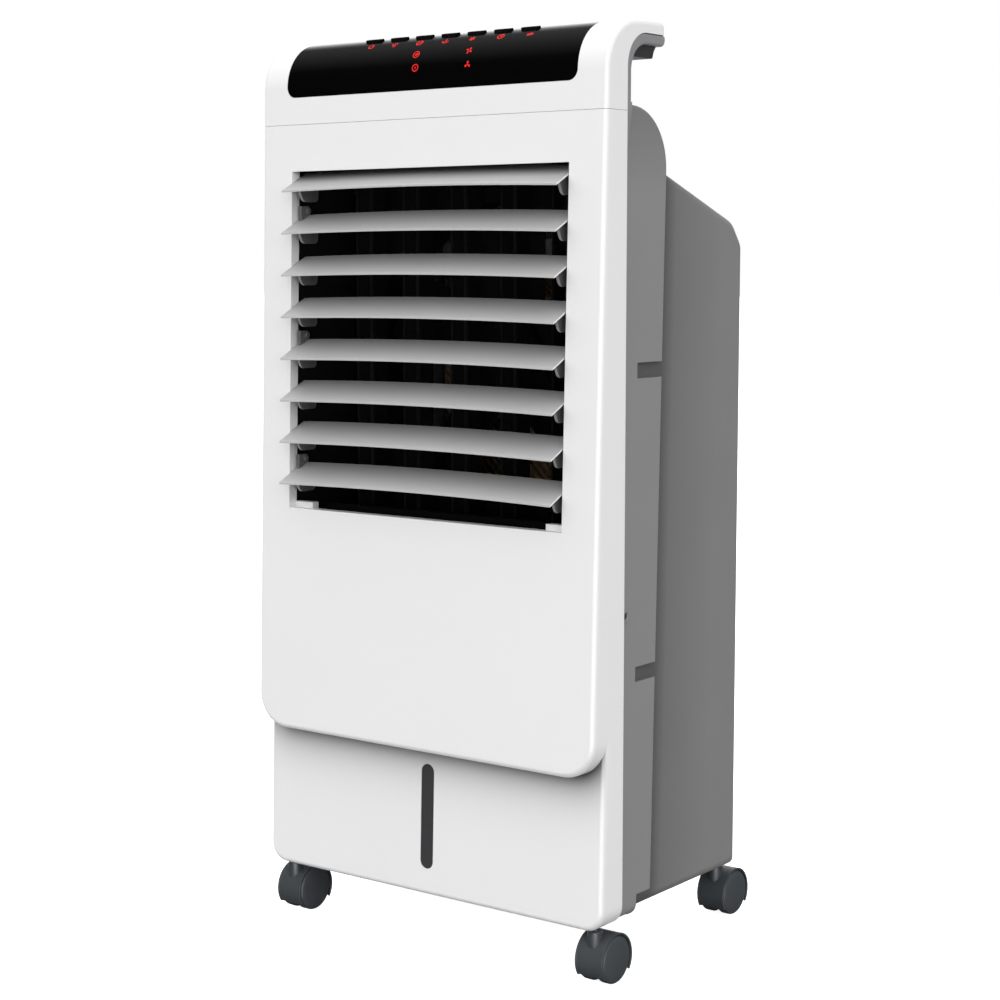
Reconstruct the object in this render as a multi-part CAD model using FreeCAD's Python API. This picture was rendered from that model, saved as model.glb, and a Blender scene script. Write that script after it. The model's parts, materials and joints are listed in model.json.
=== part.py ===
"""Portable evaporative air cooler, one solid per moulded or bought-in piece.

Frame: millimetres, +Z up, the outlet faces -Y, and +X is to the right of someone
looking at the outlet.  The origin is on the floor, in the middle of the footprint.
Inside this file depths are measured from the front face ("depth", positive towards
the back), and save() moves every finished shape by DEPTH_TO_Y into the frame.
"""
import FreeCAD
import Part
import math
import os

# ---------------------------------------------------------------- driving dimensions
WIDTH = 360.0
HALF = WIDTH / 2
SKIN = 2.6                 # wall of the big mouldings
GAP = 0.3                  # gap between neighbouring pieces
FIT = 0.06                 # radial play of a pin that turns in its hole
FAR = 60.0                 # reach of a cutter that has to go right through the front
LEAN = 0.0295              # the face leans: it comes forward towards the floor

OPEN_TOP = 659.6           # air outlet
OPEN_BOTTOM = 370.2
OPEN_HALF = 145.4
BEZEL = 9.5                # depth of the white frame around the outlet
SEAM = 699.1               # joint between the front cover and the top cover
PANEL_BOTTOM = 174.7       # lower edge of the raised front panel
PANEL_RADIUS = 30.0
LOWER_SET_BACK = 17.2      # the lower front stands this far behind the raised panel
BODY_BOTTOM = 48.0
BODY_CORNER = 17.0
BAND_BACK = 29.2           # back edge of the white side band
EDGE_ROUND = 4.5
COLLAR_WALL = 2.4          # lip round the outlet, behind the white frame
SILL_BLOCK = 20.7          # width of the two stops on the outlet's sill

TOP_ROUND = 40.0           # nose of the top cover
NOSE_Z = 729.4
NOSE_TOP = 768.0           # height of the nose's corner before rounding
TOP_Z = 771.2
HOOK_BACK = 83.0
HOOK_UNDER = 760.5
HOOK_INNER_ROUND = 27.5
LINER_UNDER = 751.5
LINER_ROUND = 22.0
LINER_BACK = 36.4          # back face of the lining's upright part
LINER_HALF = HALF - 0.6
LINER_FOOT = 676.0         # the lining's side strips taper out at this height
GRIP_HALF = 176.0
GRIP_BOTTOM = 741.5

CONTROL_HALF = 151.5
CONTROL_BOTTOM = 722.2
CONTROL_BACK = 58.0
CONTROL_CORNER = 9.0
CONTROL_WALL = 3.0
CONTROL_LEDGE = 8.0        # width of the ledge the control panel lies on
HOLLOW_HALF = HALF - SKIN - 6

BUTTON_NAMES = ("power", "speed", "mode", "swing", "cool", "timer", "ion")
BUTTON_PITCH = 27.1
BUTTON_MIDDLE = 6.7
BUTTON_WIDTH = 15.4
BUTTON_DEPTH = 5.6
BUTTON_AT = 28.0
BUTTON_TOP = 769.4
BUTTON_SLOPE = 1.1         # the cap's front edge is this much lower than its back edge
FOOT_TOP = 758.9
FOOT_THICK = 2.5
FOOT_LIP = 1.6             # how far the foot reaches past the cap
STEM_AT = 24.6
STEM_HALF = 2.0
BOARD_Z = 742.0
BOARD_THICK = 1.6
BOARD_HALF = 136.0
BOARD_FRONT = 14.0
SWITCH_HALF = 3.0
SWITCH_TALL = 3.7

MID_HALF = 175.2
MID_ROUND = 48.3
MID_CENTRE = (48.5, 656.4)
MID_LEAN = 0.0285
MID_BOTTOM = 48.6
MID_CORNER = 11.0
MID_STEP = 67.0
MID_FOOT_BACK = 57.0
NOTCHES = (496.6, 250.7)
NOTCH_TALL = 12.6
NOTCH_DEEP = 4.6
NOTCH_FRONT = 53.0
STUD_AT = (35.6, 301.0)
STUD_ROD_R = 1.5
STUD_HEAD_R = 4.2
REAR_HALF = 164.0
REAR_BACK = 236.5
REAR_TUCK = 11.5           # the back shell's edge sits this far inside the mid band
REAR_TOP_FRONT = (91.0, 663.6)
REAR_TOP_BACK = (221.0, 617.5)
BACK_PANEL_HALF = 150.0    # separate back panel between the shell's rims
BACK_PANEL_LOW = 180.4
BACK_PANEL_HIGH = 590.5
BACK_PANEL_LIP = 5.0       # how far its plate reaches behind the rims

LOUVRES = 8
LOUVRE_FIRST = 641.4       # height of the top louvre's front corners
LOUVRE_PITCH = 35.67
LOUVRE_HALF = 144.0
LOUVRE_FRONT = -14.5       # relative to the face
LOUVRE_RUN = 30.9
LOUVRE_RISE = 15.6
LOUVRE_THICK = 1.5
LOUVRE_ARCH = 2.2          # the middle stands this much higher than the ends
PIVOT_BEHIND = 27.5
PIVOT_ABOVE = 3.0
PIN_R = 2.0
EAR_AT = 136.5
EAR_THICK = 2.4
EAR_START = 11.5           # depths behind the blade's front edge
EAR_END = 38.5
EAR_SWEEP = 6.5            # the ear's front edge runs back this far towards its foot
EAR_DROP = 7.5
LINK_AT = LOUVRE_HALF + 1.1
LINK_THICK = 2.0
LINK_HALF = 3.4
LINK_PIN_R = 1.6
CRANK = (10.0, -3.0)       # crank pin from the pivot, depth and height

DUCT_HALF = OPEN_HALF + 2.6
DUCT_TOP = OPEN_TOP + 9.0
DUCT_BOTTOM = OPEN_BOTTOM - 8.0
DUCT_WALL = 4.2
DUCT_BACK = 84.0
VANES = 5
VANE_PITCH = 52.0
VANE_PIVOT = 55.0
VANE_FRONT = 36.0
VANE_BACK = 76.0
VANE_THICK = 2.0
VANE_CRANK = 15.0
VANE_FOOT = DUCT_BOTTOM + 6.0
VANE_HEAD = DUCT_TOP - 2.0
COLLAR_R = 3.4

FAN_Z = (OPEN_TOP + OPEN_BOTTOM) / 2 - 9.0
FAN_TIP = 124.0
FAN_BORE = 128.0
FAN_FRONT = 106.0
FAN_BACK = 134.0
HUB_R = 36.0
HUB_DEEP = 6.0             # the blades start this far inside the hub
BLADES = 5
BLADE_HALF_WIDE = 30.0
BLADE_HALF_THICK = 1.4
BLADE_PITCH = 24.0         # degrees out of the fan's plane
SHAFT_R = 4.0
MOTOR_R = 41.0
MOTOR_FRONT = FAN_BACK + 5
BRACKET_AT = MOTOR_FRONT + 29
BRACKET_THICK = 3.0
ARM_HALF = 154.0
ARM_HALF_WIDE = 8.0
SHROUD_HALF = 157.0
SHROUD_FRONT = DUCT_BACK + 6
SHROUD_BACK = DUCT_BACK + 9
POST_AT = 104.0
POST_R = 6.0
SWING_MOTOR_X = 120.0
SWING_MOTOR_R = 14.0
SWING_MOTOR_TALL = 18.0

PAD_HALF = 128.0
PAD_BOTTOM = 216.0
PAD_TOP = 588.0
PAD_FRONT = 188.0
PAD_BACK = 208.0
GROOVE_PITCH = 16.0
GROOVE_HALF = 2.5
GROOVE_DEEP = 3.5
TROUGH_WALL = 2.0
TROUGH_TALL = 14.0
DRIP_HOLES = 12

TANK_HALF = 146.0
TANK_BOTTOM = 56.0
TANK_TOP = 178.0
TANK_FRONT = 12.0
TANK_BACK = REAR_BACK - 0.5
TANK_WALL = 2.4
TANK_BACK_WALL = 3.0
SHELL_TANK_GAP = 1.2       # air under the drawer
DRAIN_AT = (96.0, TANK_BOTTOM + 14)
DRAIN_R = 7.0
PULL_Z = TANK_TOP - 34.0      # finger pull in the drawer's back wall
PULL_HALF = 42.0
PULL_TALL = 24.0
LOCK_Z = TANK_TOP + 12.0
LOCK_PIN_R = 3.0
INLET_AT = (-118.0, 199.0)
INLET_R = 7.1
HOSE_X = -136.0
HOSE_Y = 176.0
HOSE_R = 4.0
HOSE_BEND = 12.0
PUMP_X = -112.0
PUMP_HALF = 16.0
PUMP_HALF_LONG = 20.0
PUMP_ELBOW = TANK_BOTTOM + 38

WINDOW_HALF = 6.9
WINDOW_BOTTOM = 70.7
WINDOW_TOP = 161.1
WINDOW_RIM = 3.0           # flange behind the wall that keeps the window in

GRILLE_HALF = PAD_HALF + 6
GRILLE_BARS = 26
GRILLE_THICK = 4.5
GRILLE_BORDER = 12.0
FILTER_HALF = PAD_HALF - 4
FILTER_COLUMNS = 6
FILTER_ROWS = 9

WHEEL_R = 20.0
WHEEL_WIDE = 10.8
AXLE_R = 2.0
CASTER_WIDE = 29.0
HOOD_R = 22.0
TRAIL = 12.5
STEM_R = 6.2
PIVOT_PIN_R = 2.6
PIVOT_PIN_TOP = 55.4
SOCKET_R = 5.4             # boss that holds a caster's pin
TRAY_BOTTOM = BODY_BOTTOM + SKIN + 0.2
PLINTH_HALF = 100.0
PLINTH_FRONT = 66.0
PLINTH_BACK = 186.0
PLINTH_Z = BODY_BOTTOM - 0.6
TRAY_HALF = 154.0
TRAY_THICK = 3.0
CASTERS = {"front_left": (163.8, 14.3), "front_right": (-163.8, 14.3),
           "rear_left": (146.4, 230.4), "rear_right": (-146.4, 230.4)}


REACH_FRONT = LEAN * (LOUVRE_FIRST - (LOUVRES - 1) * LOUVRE_PITCH - OPEN_TOP) + LOUVRE_FRONT
REACH_BACK = CASTERS["rear_left"][1] + TRAIL + HOOD_R
DEPTH_TO_Y = -(REACH_FRONT + REACH_BACK) / 2


# ---------------------------------------------------------------- drawing helpers
def face_depth(z):
    """Depth of the leaning front face at height z."""
    return LEAN * (z - OPEN_TOP)


def corner_points(before, here, after, radius):
    """Tangent points and mid point of the arc that rounds one corner of an outline."""
    here_v = FreeCAD.Vector(here[0], here[1], 0)
    back = (FreeCAD.Vector(before[0], before[1], 0) - here_v).normalize()
    ahead = (FreeCAD.Vector(after[0], after[1], 0) - here_v).normalize()
    half_angle = back.getAngle(ahead) / 2
    reach = radius / math.tan(half_angle)
    bisector = (back + ahead).normalize()
    centre = here_v + bisector * (radius / math.sin(half_angle))
    return here_v + back * reach, centre - bisector * radius, here_v + ahead * reach


def outline_face(points, place):
    """Closed face from (u, v) or (u, v, corner radius) points; place maps u, v to a vector."""
    edges = []
    starts = []
    ends = []
    count = len(points)
    for index, point in enumerate(points):
        radius = point[2] if len(point) > 2 else 0
        if radius:
            first, middle, last = corner_points(points[index - 1], point, points[(index + 1) % count], radius)
            first, middle, last = (place(v.x, v.y) for v in (first, middle, last))
            edges.append(Part.Arc(first, middle, last).toShape())
        else:
            first = last = place(point[0], point[1])
        starts.append(first)
        ends.append(last)
    for index in range(count):
        end = ends[index]
        start = starts[(index + 1) % count]
        if end.distanceToPoint(start) > 1e-6:
            edges.append(Part.LineSegment(end, start).toShape())
    return Part.Face(Part.Wire(Part.__sortEdges__(edges)))


def prism_x(points, x0, x1):
    """Outline in depth and height, swept along X."""
    face = outline_face(points, lambda u, v: FreeCAD.Vector(x0, u, v))
    return face.extrude(FreeCAD.Vector(x1 - x0, 0, 0))


def prism_y(points, y0, y1):
    """Outline in X and height, swept along the depth."""
    face = outline_face(points, lambda u, v: FreeCAD.Vector(u, y0, v))
    return face.extrude(FreeCAD.Vector(0, y1 - y0, 0))


def prism_z(points, z0, z1):
    """Outline in X and depth, swept upwards."""
    face = outline_face(points, lambda u, v: FreeCAD.Vector(u, v, z0))
    return face.extrude(FreeCAD.Vector(0, 0, z1 - z0))


def box(x0, x1, y0, y1, z0, z1):
    return Part.makeBox(x1 - x0, y1 - y0, z1 - z0, FreeCAD.Vector(x0, y0, z0))


def rod(start, direction, radius, length):
    return Part.makeCylinder(radius, length, FreeCAD.Vector(*start), FreeCAD.Vector(*direction))


def rounded_rect(half_u, v0, v1, radius):
    return [(-half_u, v0, radius), (half_u, v0, radius), (half_u, v1, radius), (-half_u, v1, radius)]


def soften(shape, radius, wanted):
    """Fillet the edges whose middle point passes the test."""
    edges = []
    for edge in shape.Edges:
        middle = edge.valueAt((edge.FirstParameter + edge.LastParameter) / 2)
        if wanted(edge, middle):
            edges.append(edge)
    return shape.makeFillet(radius, edges)


def joined(shapes):
    result = shapes[0].multiFuse(shapes[1:]) if len(shapes) > 1 else shapes[0]
    return result.removeSplitter()


def moved(shape, x=0.0, y=0.0, z=0.0):
    copy = shape.copy()
    copy.translate(FreeCAD.Vector(x, y, z))
    return copy


def save(name, shape):
    placed = moved(shape, y=DEPTH_TO_Y)
    if len(placed.Solids) != 1 or not placed.isValid():
        print("CHECK", name, "solids", len(placed.Solids), "valid", placed.isValid())
    placed.exportStep("parts/" + name + ".step")


# ---------------------------------------------------------------- white mouldings
def raised_profile(inset, back, z0, z1):
    """Side view of the raised panel: leaning face, flat back."""
    return [(face_depth(z0) + inset, z0), (back, z0), (back, z1), (face_depth(z1) + inset, z1)]


def lower_profile(inset, back, z0, z1):
    return [(face_depth(z0) + LOWER_SET_BACK + inset, z0), (back, z0), (back, z1),
            (face_depth(z1) + LOWER_SET_BACK + inset, z1)]


def on_side_wall(edge, middle):
    return abs(abs(middle.x) - HALF) < 0.01


def make_front_cover():
    top = SEAM - GAP / 2
    panel = prism_x(raised_profile(0, BAND_BACK, PANEL_BOTTOM, top), -HALF, HALF)
    front_view = [(-HALF, PANEL_BOTTOM, PANEL_RADIUS), (HALF, PANEL_BOTTOM, PANEL_RADIUS),
                  (HALF, top), (-HALF, top)]
    panel = panel.common(prism_y(front_view, -FAR, FAR))
    panel = soften(panel, EDGE_ROUND, lambda e, m: abs(m.y - face_depth(m.z)) < 0.05 and m.z < top - 1)
    lower = prism_x(lower_profile(0, BAND_BACK, BODY_BOTTOM, top), -HALF, HALF)
    lower_view = [(-HALF, BODY_BOTTOM, BODY_CORNER), (HALF, BODY_BOTTOM, BODY_CORNER),
                  (HALF, top), (-HALF, top)]
    lower = lower.common(prism_y(lower_view, -FAR, FAR))
    lower = soften(lower, EDGE_ROUND,
                   lambda e, m: abs(m.y - face_depth(m.z) - LOWER_SET_BACK) < 0.05 and m.z < top - 1)
    shell = joined([panel, lower])
    inner_half = HALF - SKIN
    hollow = prism_x(raised_profile(SKIN, BAND_BACK + 1, PANEL_BOTTOM + SKIN, top + 1), -inner_half, inner_half)
    inner_view = [(-inner_half, PANEL_BOTTOM + SKIN, PANEL_RADIUS - SKIN),
                  (inner_half, PANEL_BOTTOM + SKIN, PANEL_RADIUS - SKIN),
                  (inner_half, top + 1), (-inner_half, top + 1)]
    hollow = hollow.common(prism_y(inner_view, -FAR, FAR))
    hollow_low = prism_x(lower_profile(SKIN, BAND_BACK + 1, BODY_BOTTOM + SKIN, top + 1),
                         -inner_half, inner_half)
    low_view = [(-inner_half, BODY_BOTTOM + SKIN, BODY_CORNER - SKIN),
                (inner_half, BODY_BOTTOM + SKIN, BODY_CORNER - SKIN),
                (inner_half, top + 1), (-inner_half, top + 1)]
    hollow_low = hollow_low.common(prism_y(low_view, -FAR, FAR))
    shell = shell.cut(joined([hollow, hollow_low]))
    wall = COLLAR_WALL
    collar = prism_x([(face_depth(OPEN_BOTTOM) + 1, OPEN_BOTTOM - wall),
                      (face_depth(OPEN_BOTTOM) + BEZEL, OPEN_BOTTOM - wall),
                      (face_depth(DUCT_TOP) + BEZEL, DUCT_TOP + wall),
                      (face_depth(DUCT_TOP) + 1, DUCT_TOP + wall)], -OPEN_HALF - wall, OPEN_HALF + wall)
    shell = joined([shell, collar])
    shell = shell.cut(box(-OPEN_HALF, OPEN_HALF, -FAR, BAND_BACK, OPEN_BOTTOM, OPEN_TOP))
    behind_skin = face_depth(OPEN_TOP) + SKIN + 0.4
    shell = shell.cut(box(-OPEN_HALF, OPEN_HALF, behind_skin, BAND_BACK, OPEN_BOTTOM, DUCT_TOP))
    window = prism_y(rounded_rect(WINDOW_HALF, WINDOW_BOTTOM, WINDOW_TOP, WINDOW_HALF - 0.01), -20, 20)
    shell = shell.cut(window)
    sill = face_depth(OPEN_BOTTOM) + BEZEL
    for side in (-1, 1):
        inner, outer = sorted((side * (OPEN_HALF - SILL_BLOCK), side * (OPEN_HALF + 1)))
        shell = shell.fuse(box(inner, outer, sill - 2, sill + 5.5, OPEN_BOTTOM - wall, OPEN_BOTTOM + 5))
    for name in ("front_left", "front_right"):
        x, stem_y = CASTERS[name]
        shell = shell.fuse(rod((x, stem_y, BODY_BOTTOM + 1), (0, 0, 1), SOCKET_R, 9))
        shell = shell.cut(rod((x, stem_y, BODY_BOTTOM - 1), (0, 0, 1), PIVOT_PIN_R + FIT, 16))
    return shell.removeSplitter()


def hook_points(bottom):
    """Side view of the top cover: leaning face, round nose, rising top, open hook at the back."""
    return [(face_depth(bottom), bottom), (face_depth(NOSE_TOP), NOSE_TOP, TOP_ROUND), (HOOK_BACK, TOP_Z, 5.0),
            (HOOK_BACK, HOOK_UNDER), (BAND_BACK, HOOK_UNDER, HOOK_INNER_ROUND), (BAND_BACK, bottom)]


def control_cutter(half, bottom, back, corner):
    """Prism through the nose, shaped like the control panel seen from the front."""
    points = [(-half, bottom, corner), (half, bottom, corner), (half, 800), (-half, 800)]
    return prism_y(points, -20, back)


def nose_layer(thick):
    """Layer under the leaning face, the round nose and the top, thick millimetres deep."""
    low = SEAM + 5
    back = HOOK_BACK - 10
    rise = (TOP_Z - NOSE_TOP) / (HOOK_BACK - face_depth(NOSE_TOP))
    back_z = TOP_Z - rise * (HOOK_BACK - back)
    points = [(face_depth(low), low), (face_depth(NOSE_TOP), NOSE_TOP, TOP_ROUND), (back, back_z),
              (back, back_z - thick), (face_depth(NOSE_TOP) + thick, NOSE_TOP - thick, TOP_ROUND - thick),
              (face_depth(low) + thick, low)]
    return prism_x(points, -HALF - 5, HALF + 5)


def make_top_cover():
    solid = prism_x(hook_points(SEAM + GAP / 2), -HALF, HALF)
    solid = soften(solid, EDGE_ROUND - 0.5, lambda e, m: on_side_wall(e, m) and (
        m.y < face_depth(m.z) + 1 or m.z > TOP_Z - 3 or (m.y < 20 and m.z > NOSE_Z)
        or m.y > HOOK_BACK - 2))
    cavity = prism_x([(face_depth(SEAM) + SKIN, SEAM - 1), (BAND_BACK + 1, SEAM - 1), (BAND_BACK + 1, 745.0),
                      (BAND_BACK + 14, 758.0), (BAND_BACK + 14, 765.0), (34.0, 765.0, 6), (6.4, 746.0, 6)],
                     -HOLLOW_HALF, HOLLOW_HALF)
    solid = solid.cut(cavity)
    seat = control_cutter(CONTROL_HALF + GAP, CONTROL_BOTTOM - GAP, CONTROL_BACK + GAP, CONTROL_CORNER)
    way_in = control_cutter(CONTROL_HALF - CONTROL_LEDGE, CONTROL_BOTTOM + CONTROL_LEDGE,
                            CONTROL_BACK - 14, CONTROL_CORNER)
    solid = solid.cut(seat.common(nose_layer(CONTROL_WALL + 0.2))).cut(way_in.common(nose_layer(16)))
    for side in (-1, 1):
        x0, x1 = sorted((side * (BOARD_HALF - 6), side * (HOLLOW_HALF + 1)))
        solid = solid.fuse(box(x0, x1, BOARD_FRONT, BOARD_FRONT + 13, BOARD_Z - 3, BOARD_Z))
    return solid.removeSplitter()


def make_handle_liner():
    """Grey lining that closes the back of the top cover and the underside of the hook."""
    bottom = MID_CENTRE[1] + MID_ROUND + GAP
    front = BAND_BACK + 0.1
    outer = HOOK_UNDER - 0.1
    lip = HOOK_BACK + 1.2
    points = [(front, bottom), (front, outer, HOOK_INNER_ROUND - 0.1), (lip, outer, 2),
              (lip, LINER_UNDER, 5), (LINER_BACK, LINER_UNDER, LINER_ROUND), (LINER_BACK, bottom)]
    liner = prism_x(points, -LINER_HALF, LINER_HALF)
    liner = soften(liner, 2.4, lambda e, m: abs(abs(m.x) - LINER_HALF) < 0.01 and m.y > LINER_BACK + LINER_ROUND
                   and m.z < outer - 1)
    strips = []
    for side in (-1, 1):
        inner = side * (MID_HALF + GAP)
        strip = [(inner, bottom + 1), (side * LINER_HALF, bottom + 1), (side * LINER_HALF, bottom - 6),
                 (inner + side * 0.6, LINER_FOOT), (inner, LINER_FOOT)]
        strips.append(prism_y(strip, front, LINER_BACK))
    return joined([liner] + strips)


def make_handle_grip():
    """Soft strip in the corner of the hook, flared where it meets the lining."""
    start = LINER_BACK + 1
    solid = prism_x([(start, GRIP_BOTTOM), (70.0, GRIP_BOTTOM, 2.5), (71.5, 746.5), (75.0, LINER_UNDER),
                     (start, LINER_UNDER)], -GRIP_HALF, GRIP_HALF)
    centre_y = LINER_BACK + LINER_ROUND
    room = rod((-HALF, centre_y, LINER_UNDER - LINER_ROUND), (1, 0, 0), LINER_ROUND, WIDTH)
    block = box(-HALF, HALF, centre_y, HOOK_BACK, SEAM, LINER_UNDER)
    return solid.common(room.fuse(block)).removeSplitter()


# ---------------------------------------------------------------- controls
def button_x(index):
    return BUTTON_MIDDLE + (index - (len(BUTTON_NAMES) - 1) / 2) * BUTTON_PITCH


def make_control_panel():
    panel = control_cutter(CONTROL_HALF, CONTROL_BOTTOM, CONTROL_BACK, CONTROL_CORNER)
    panel = panel.common(nose_layer(CONTROL_WALL))
    for index in range(len(BUTTON_NAMES)):
        x = button_x(index)
        panel = panel.cut(box(x - BUTTON_WIDTH / 2 - GAP, x + BUTTON_WIDTH / 2 + GAP,
                              BUTTON_AT - BUTTON_DEPTH / 2 - GAP, BUTTON_AT + BUTTON_DEPTH / 2 + GAP, 740, 790))
    return panel


def make_button(index):
    """Key cap that stands out of the nose, with a foot under the panel that keeps it in."""
    x = button_x(index)
    half = BUTTON_WIDTH / 2
    front = BUTTON_AT - BUTTON_DEPTH / 2
    back = BUTTON_AT + BUTTON_DEPTH / 2
    cap = prism_x([(front, FOOT_TOP), (back, FOOT_TOP), (back, BUTTON_TOP, 0.8),
                   (front, BUTTON_TOP - BUTTON_SLOPE, 0.8)], x - half, x + half)
    foot = box(x - half - FOOT_LIP, x + half + FOOT_LIP, STEM_AT - SWITCH_HALF - 0.3, back + FOOT_LIP,
               FOOT_TOP - FOOT_THICK, FOOT_TOP)
    stem = box(x - STEM_HALF, x + STEM_HALF, STEM_AT - STEM_HALF, STEM_AT + STEM_HALF,
               BOARD_Z + BOARD_THICK + SWITCH_TALL + 1.9, FOOT_TOP - FOOT_THICK)
    return joined([cap, foot, stem])


def make_control_board():
    """Circuit board lying under the buttons, with one push switch under each stem."""
    top = BOARD_Z + BOARD_THICK
    parts = [box(-BOARD_HALF, BOARD_HALF, BOARD_FRONT, STEM_AT + SWITCH_HALF, BOARD_Z, top)]
    for index in range(len(BUTTON_NAMES)):
        x = button_x(index)
        parts.append(box(x - SWITCH_HALF, x + SWITCH_HALF, STEM_AT - SWITCH_HALF, STEM_AT + SWITCH_HALF,
                         top, top + SWITCH_TALL))
    connector = box(-128, -100, 15.5, 26, top, top + 6.4)
    capacitor = rod((-90, 20, top), (0, 0, 1), 4.0, 7.0)
    return joined(parts + [connector, capacitor])


# ---------------------------------------------------------------- grey housings
def mid_back(z):
    return MID_CENTRE[0] + MID_ROUND - MID_LEAN * (MID_CENTRE[1] - z)


def mid_outline(inset, front, x0, x1):
    """Mid band swept along X: flat front, round shoulder, leaning back edge, stepped foot."""
    centre_y, centre_z = MID_CENTRE
    top = centre_z + MID_ROUND - inset
    step = MID_STEP + inset
    foot_back = MID_FOOT_BACK - inset
    points = [(front, MID_BOTTOM - 1 if inset else MID_BOTTOM), (front, top),
              (centre_y + MID_ROUND - inset, top, MID_ROUND - inset - 0.5), (mid_back(step) - inset, step),
              (foot_back, step), (foot_back, MID_BOTTOM - 1 if inset else MID_BOTTOM)]
    return prism_x(points, x0, x1)


def make_mid_frame():
    """Grey band behind the front cover, with the deck under the handle and two grip notches."""
    front = BAND_BACK - 12
    band = mid_outline(0, front, -MID_HALF, MID_HALF)
    front_view = [(-MID_HALF, MID_BOTTOM, MID_CORNER), (MID_HALF, MID_BOTTOM, MID_CORNER),
                  (MID_HALF, 800), (-MID_HALF, 800)]
    band = band.common(prism_y(front_view, -FAR, 130))
    band = soften(band, 3.5, lambda e, m: abs(abs(m.x) - MID_HALF) < 0.01 and m.y > 62 and m.z > MID_STEP + 2)
    hollow_half = MID_HALF - SKIN
    band = band.cut(mid_outline(SKIN, front - 1, -hollow_half, hollow_half))
    through = box(-REAR_HALF - 0.4, REAR_HALF + 0.4, front - 1, 110, MID_BOTTOM - 1, REAR_TOP_FRONT[1] + 0.6)
    front_web = box(-HALF, HALF, 0, FAR, 100, 800)
    band = band.cut(through.cut(front_web))
    notch_cuts = []
    for z in NOTCHES:
        for side in (-1, 1):
            x0, x1 = sorted((side * (MID_HALF - NOTCH_DEEP - SKIN), side * (MID_HALF - 0.5)))
            back = mid_back(z) - 3.0
            half = NOTCH_TALL / 2
            band = band.fuse(box(x0, x1, NOTCH_FRONT - SKIN, back, z - half - SKIN, z + half + SKIN))
            x0, x1 = sorted((side * (MID_HALF - NOTCH_DEEP), side * (MID_HALF + 1)))
            notch_cuts.append(box(x0, x1, NOTCH_FRONT, 110.0, z - half, z + half))
    band = band.cut(notch_cuts[0].multiFuse(notch_cuts[1:]))
    cover_edge = box(-HALF, HALF, front - 1, BAND_BACK, SEAM - 1, 720)
    foot_edge = box(-HALF, HALF, front - 1, BAND_BACK + GAP, MID_BOTTOM - 1, BODY_BOTTOM + BODY_CORNER + 6)
    band = band.cut(cover_edge).cut(foot_edge)
    band = band.cut(rod((-HALF, STUD_AT[0], STUD_AT[1]), (1, 0, 0), STUD_ROD_R + FIT, WIDTH))
    return band.removeSplitter()


def rear_outline(inset, reach, bottom):
    """Side view of the back shell; reach moves its open front edge forward."""
    drop = (REAR_TOP_BACK[1] - REAR_TOP_FRONT[1]) / (REAR_TOP_BACK[0] - REAR_TOP_FRONT[0])
    front_top = mid_back(REAR_TOP_FRONT[1]) - REAR_TUCK - reach
    front_low = mid_back(bottom) - REAR_TUCK - reach
    top = REAR_TOP_FRONT[1] + drop * (front_top - REAR_TOP_FRONT[0]) - inset
    foot_round = 0 if inset else 4
    return [(front_low, bottom), (REAR_BACK - inset, bottom, foot_round), (REAR_BACK - inset, 598.0, 14),
            (REAR_TOP_BACK[0] - inset * 0.7, REAR_TOP_BACK[1] - inset, 20), (front_top, top)]


def make_rear_housing():
    """Back shell: two sides and a sloping top, open at the back, with its edge tucked into the mid band."""
    bottom = BODY_BOTTOM + 0.8
    shell = prism_x(rear_outline(0, 0, bottom), -REAR_HALF, REAR_HALF)
    shell = soften(shell, 9.0, lambda e, m: abs(abs(m.x) - REAR_HALF) < 0.01 and m.z > 60 and (
        m.y > mid_back(m.z) - REAR_TUCK + 1))
    inner = REAR_HALF - SKIN
    shell = shell.cut(prism_x(rear_outline(SKIN, 1.0, bottom + SKIN), -inner, inner))
    back_opening = box(-BACK_PANEL_HALF - GAP, BACK_PANEL_HALF + GAP, REAR_BACK - 8, REAR_BACK + 4,
                       TANK_BOTTOM - SHELL_TANK_GAP, BACK_PANEL_HIGH + GAP)
    floor_gap = box(-REAR_HALF + 8, REAR_HALF - 8, 50, REAR_BACK - 10, bottom - 1, bottom + 3)
    shell = shell.cut(floor_gap)
    for name in ("rear_left", "rear_right"):
        x, stem_y = CASTERS[name]
        shell = shell.fuse(rod((x, stem_y, bottom), (0, 0, 1), SOCKET_R, TANK_BOTTOM - SHELL_TANK_GAP - bottom))
        shell = shell.cut(rod((x, stem_y, bottom - 1), (0, 0, 1), PIVOT_PIN_R + FIT, 10))
    return shell.cut(back_opening).removeSplitter()


def make_rear_panel():
    """Screwed-in back panel: a raised field flush with the shell, on a wider plate behind its rims."""
    field = box(-BACK_PANEL_HALF, BACK_PANEL_HALF, REAR_BACK - 3, REAR_BACK, BACK_PANEL_LOW, BACK_PANEL_HIGH)
    plate_half = BACK_PANEL_HALF + BACK_PANEL_LIP
    plate = box(-plate_half, plate_half, REAR_BACK - SKIN - 2.7, REAR_BACK - SKIN - 0.1,
                BACK_PANEL_LOW, BACK_PANEL_HIGH + 2)
    panel = joined([field, plate])
    intake = prism_y(rounded_rect(PAD_HALF, PAD_BOTTOM + 10, PAD_TOP - 8, 12), REAR_BACK - 8, REAR_BACK + 4)
    panel = panel.cut(intake)
    panel = panel.cut(rod((0, REAR_BACK - 8, LOCK_Z), (0, 1, 0), LOCK_PIN_R + FIT, 16))
    return panel.cut(rod((INLET_AT[0], REAR_BACK - 8, INLET_AT[1]), (0, 1, 0), INLET_R + 0.1, 16))


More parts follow.
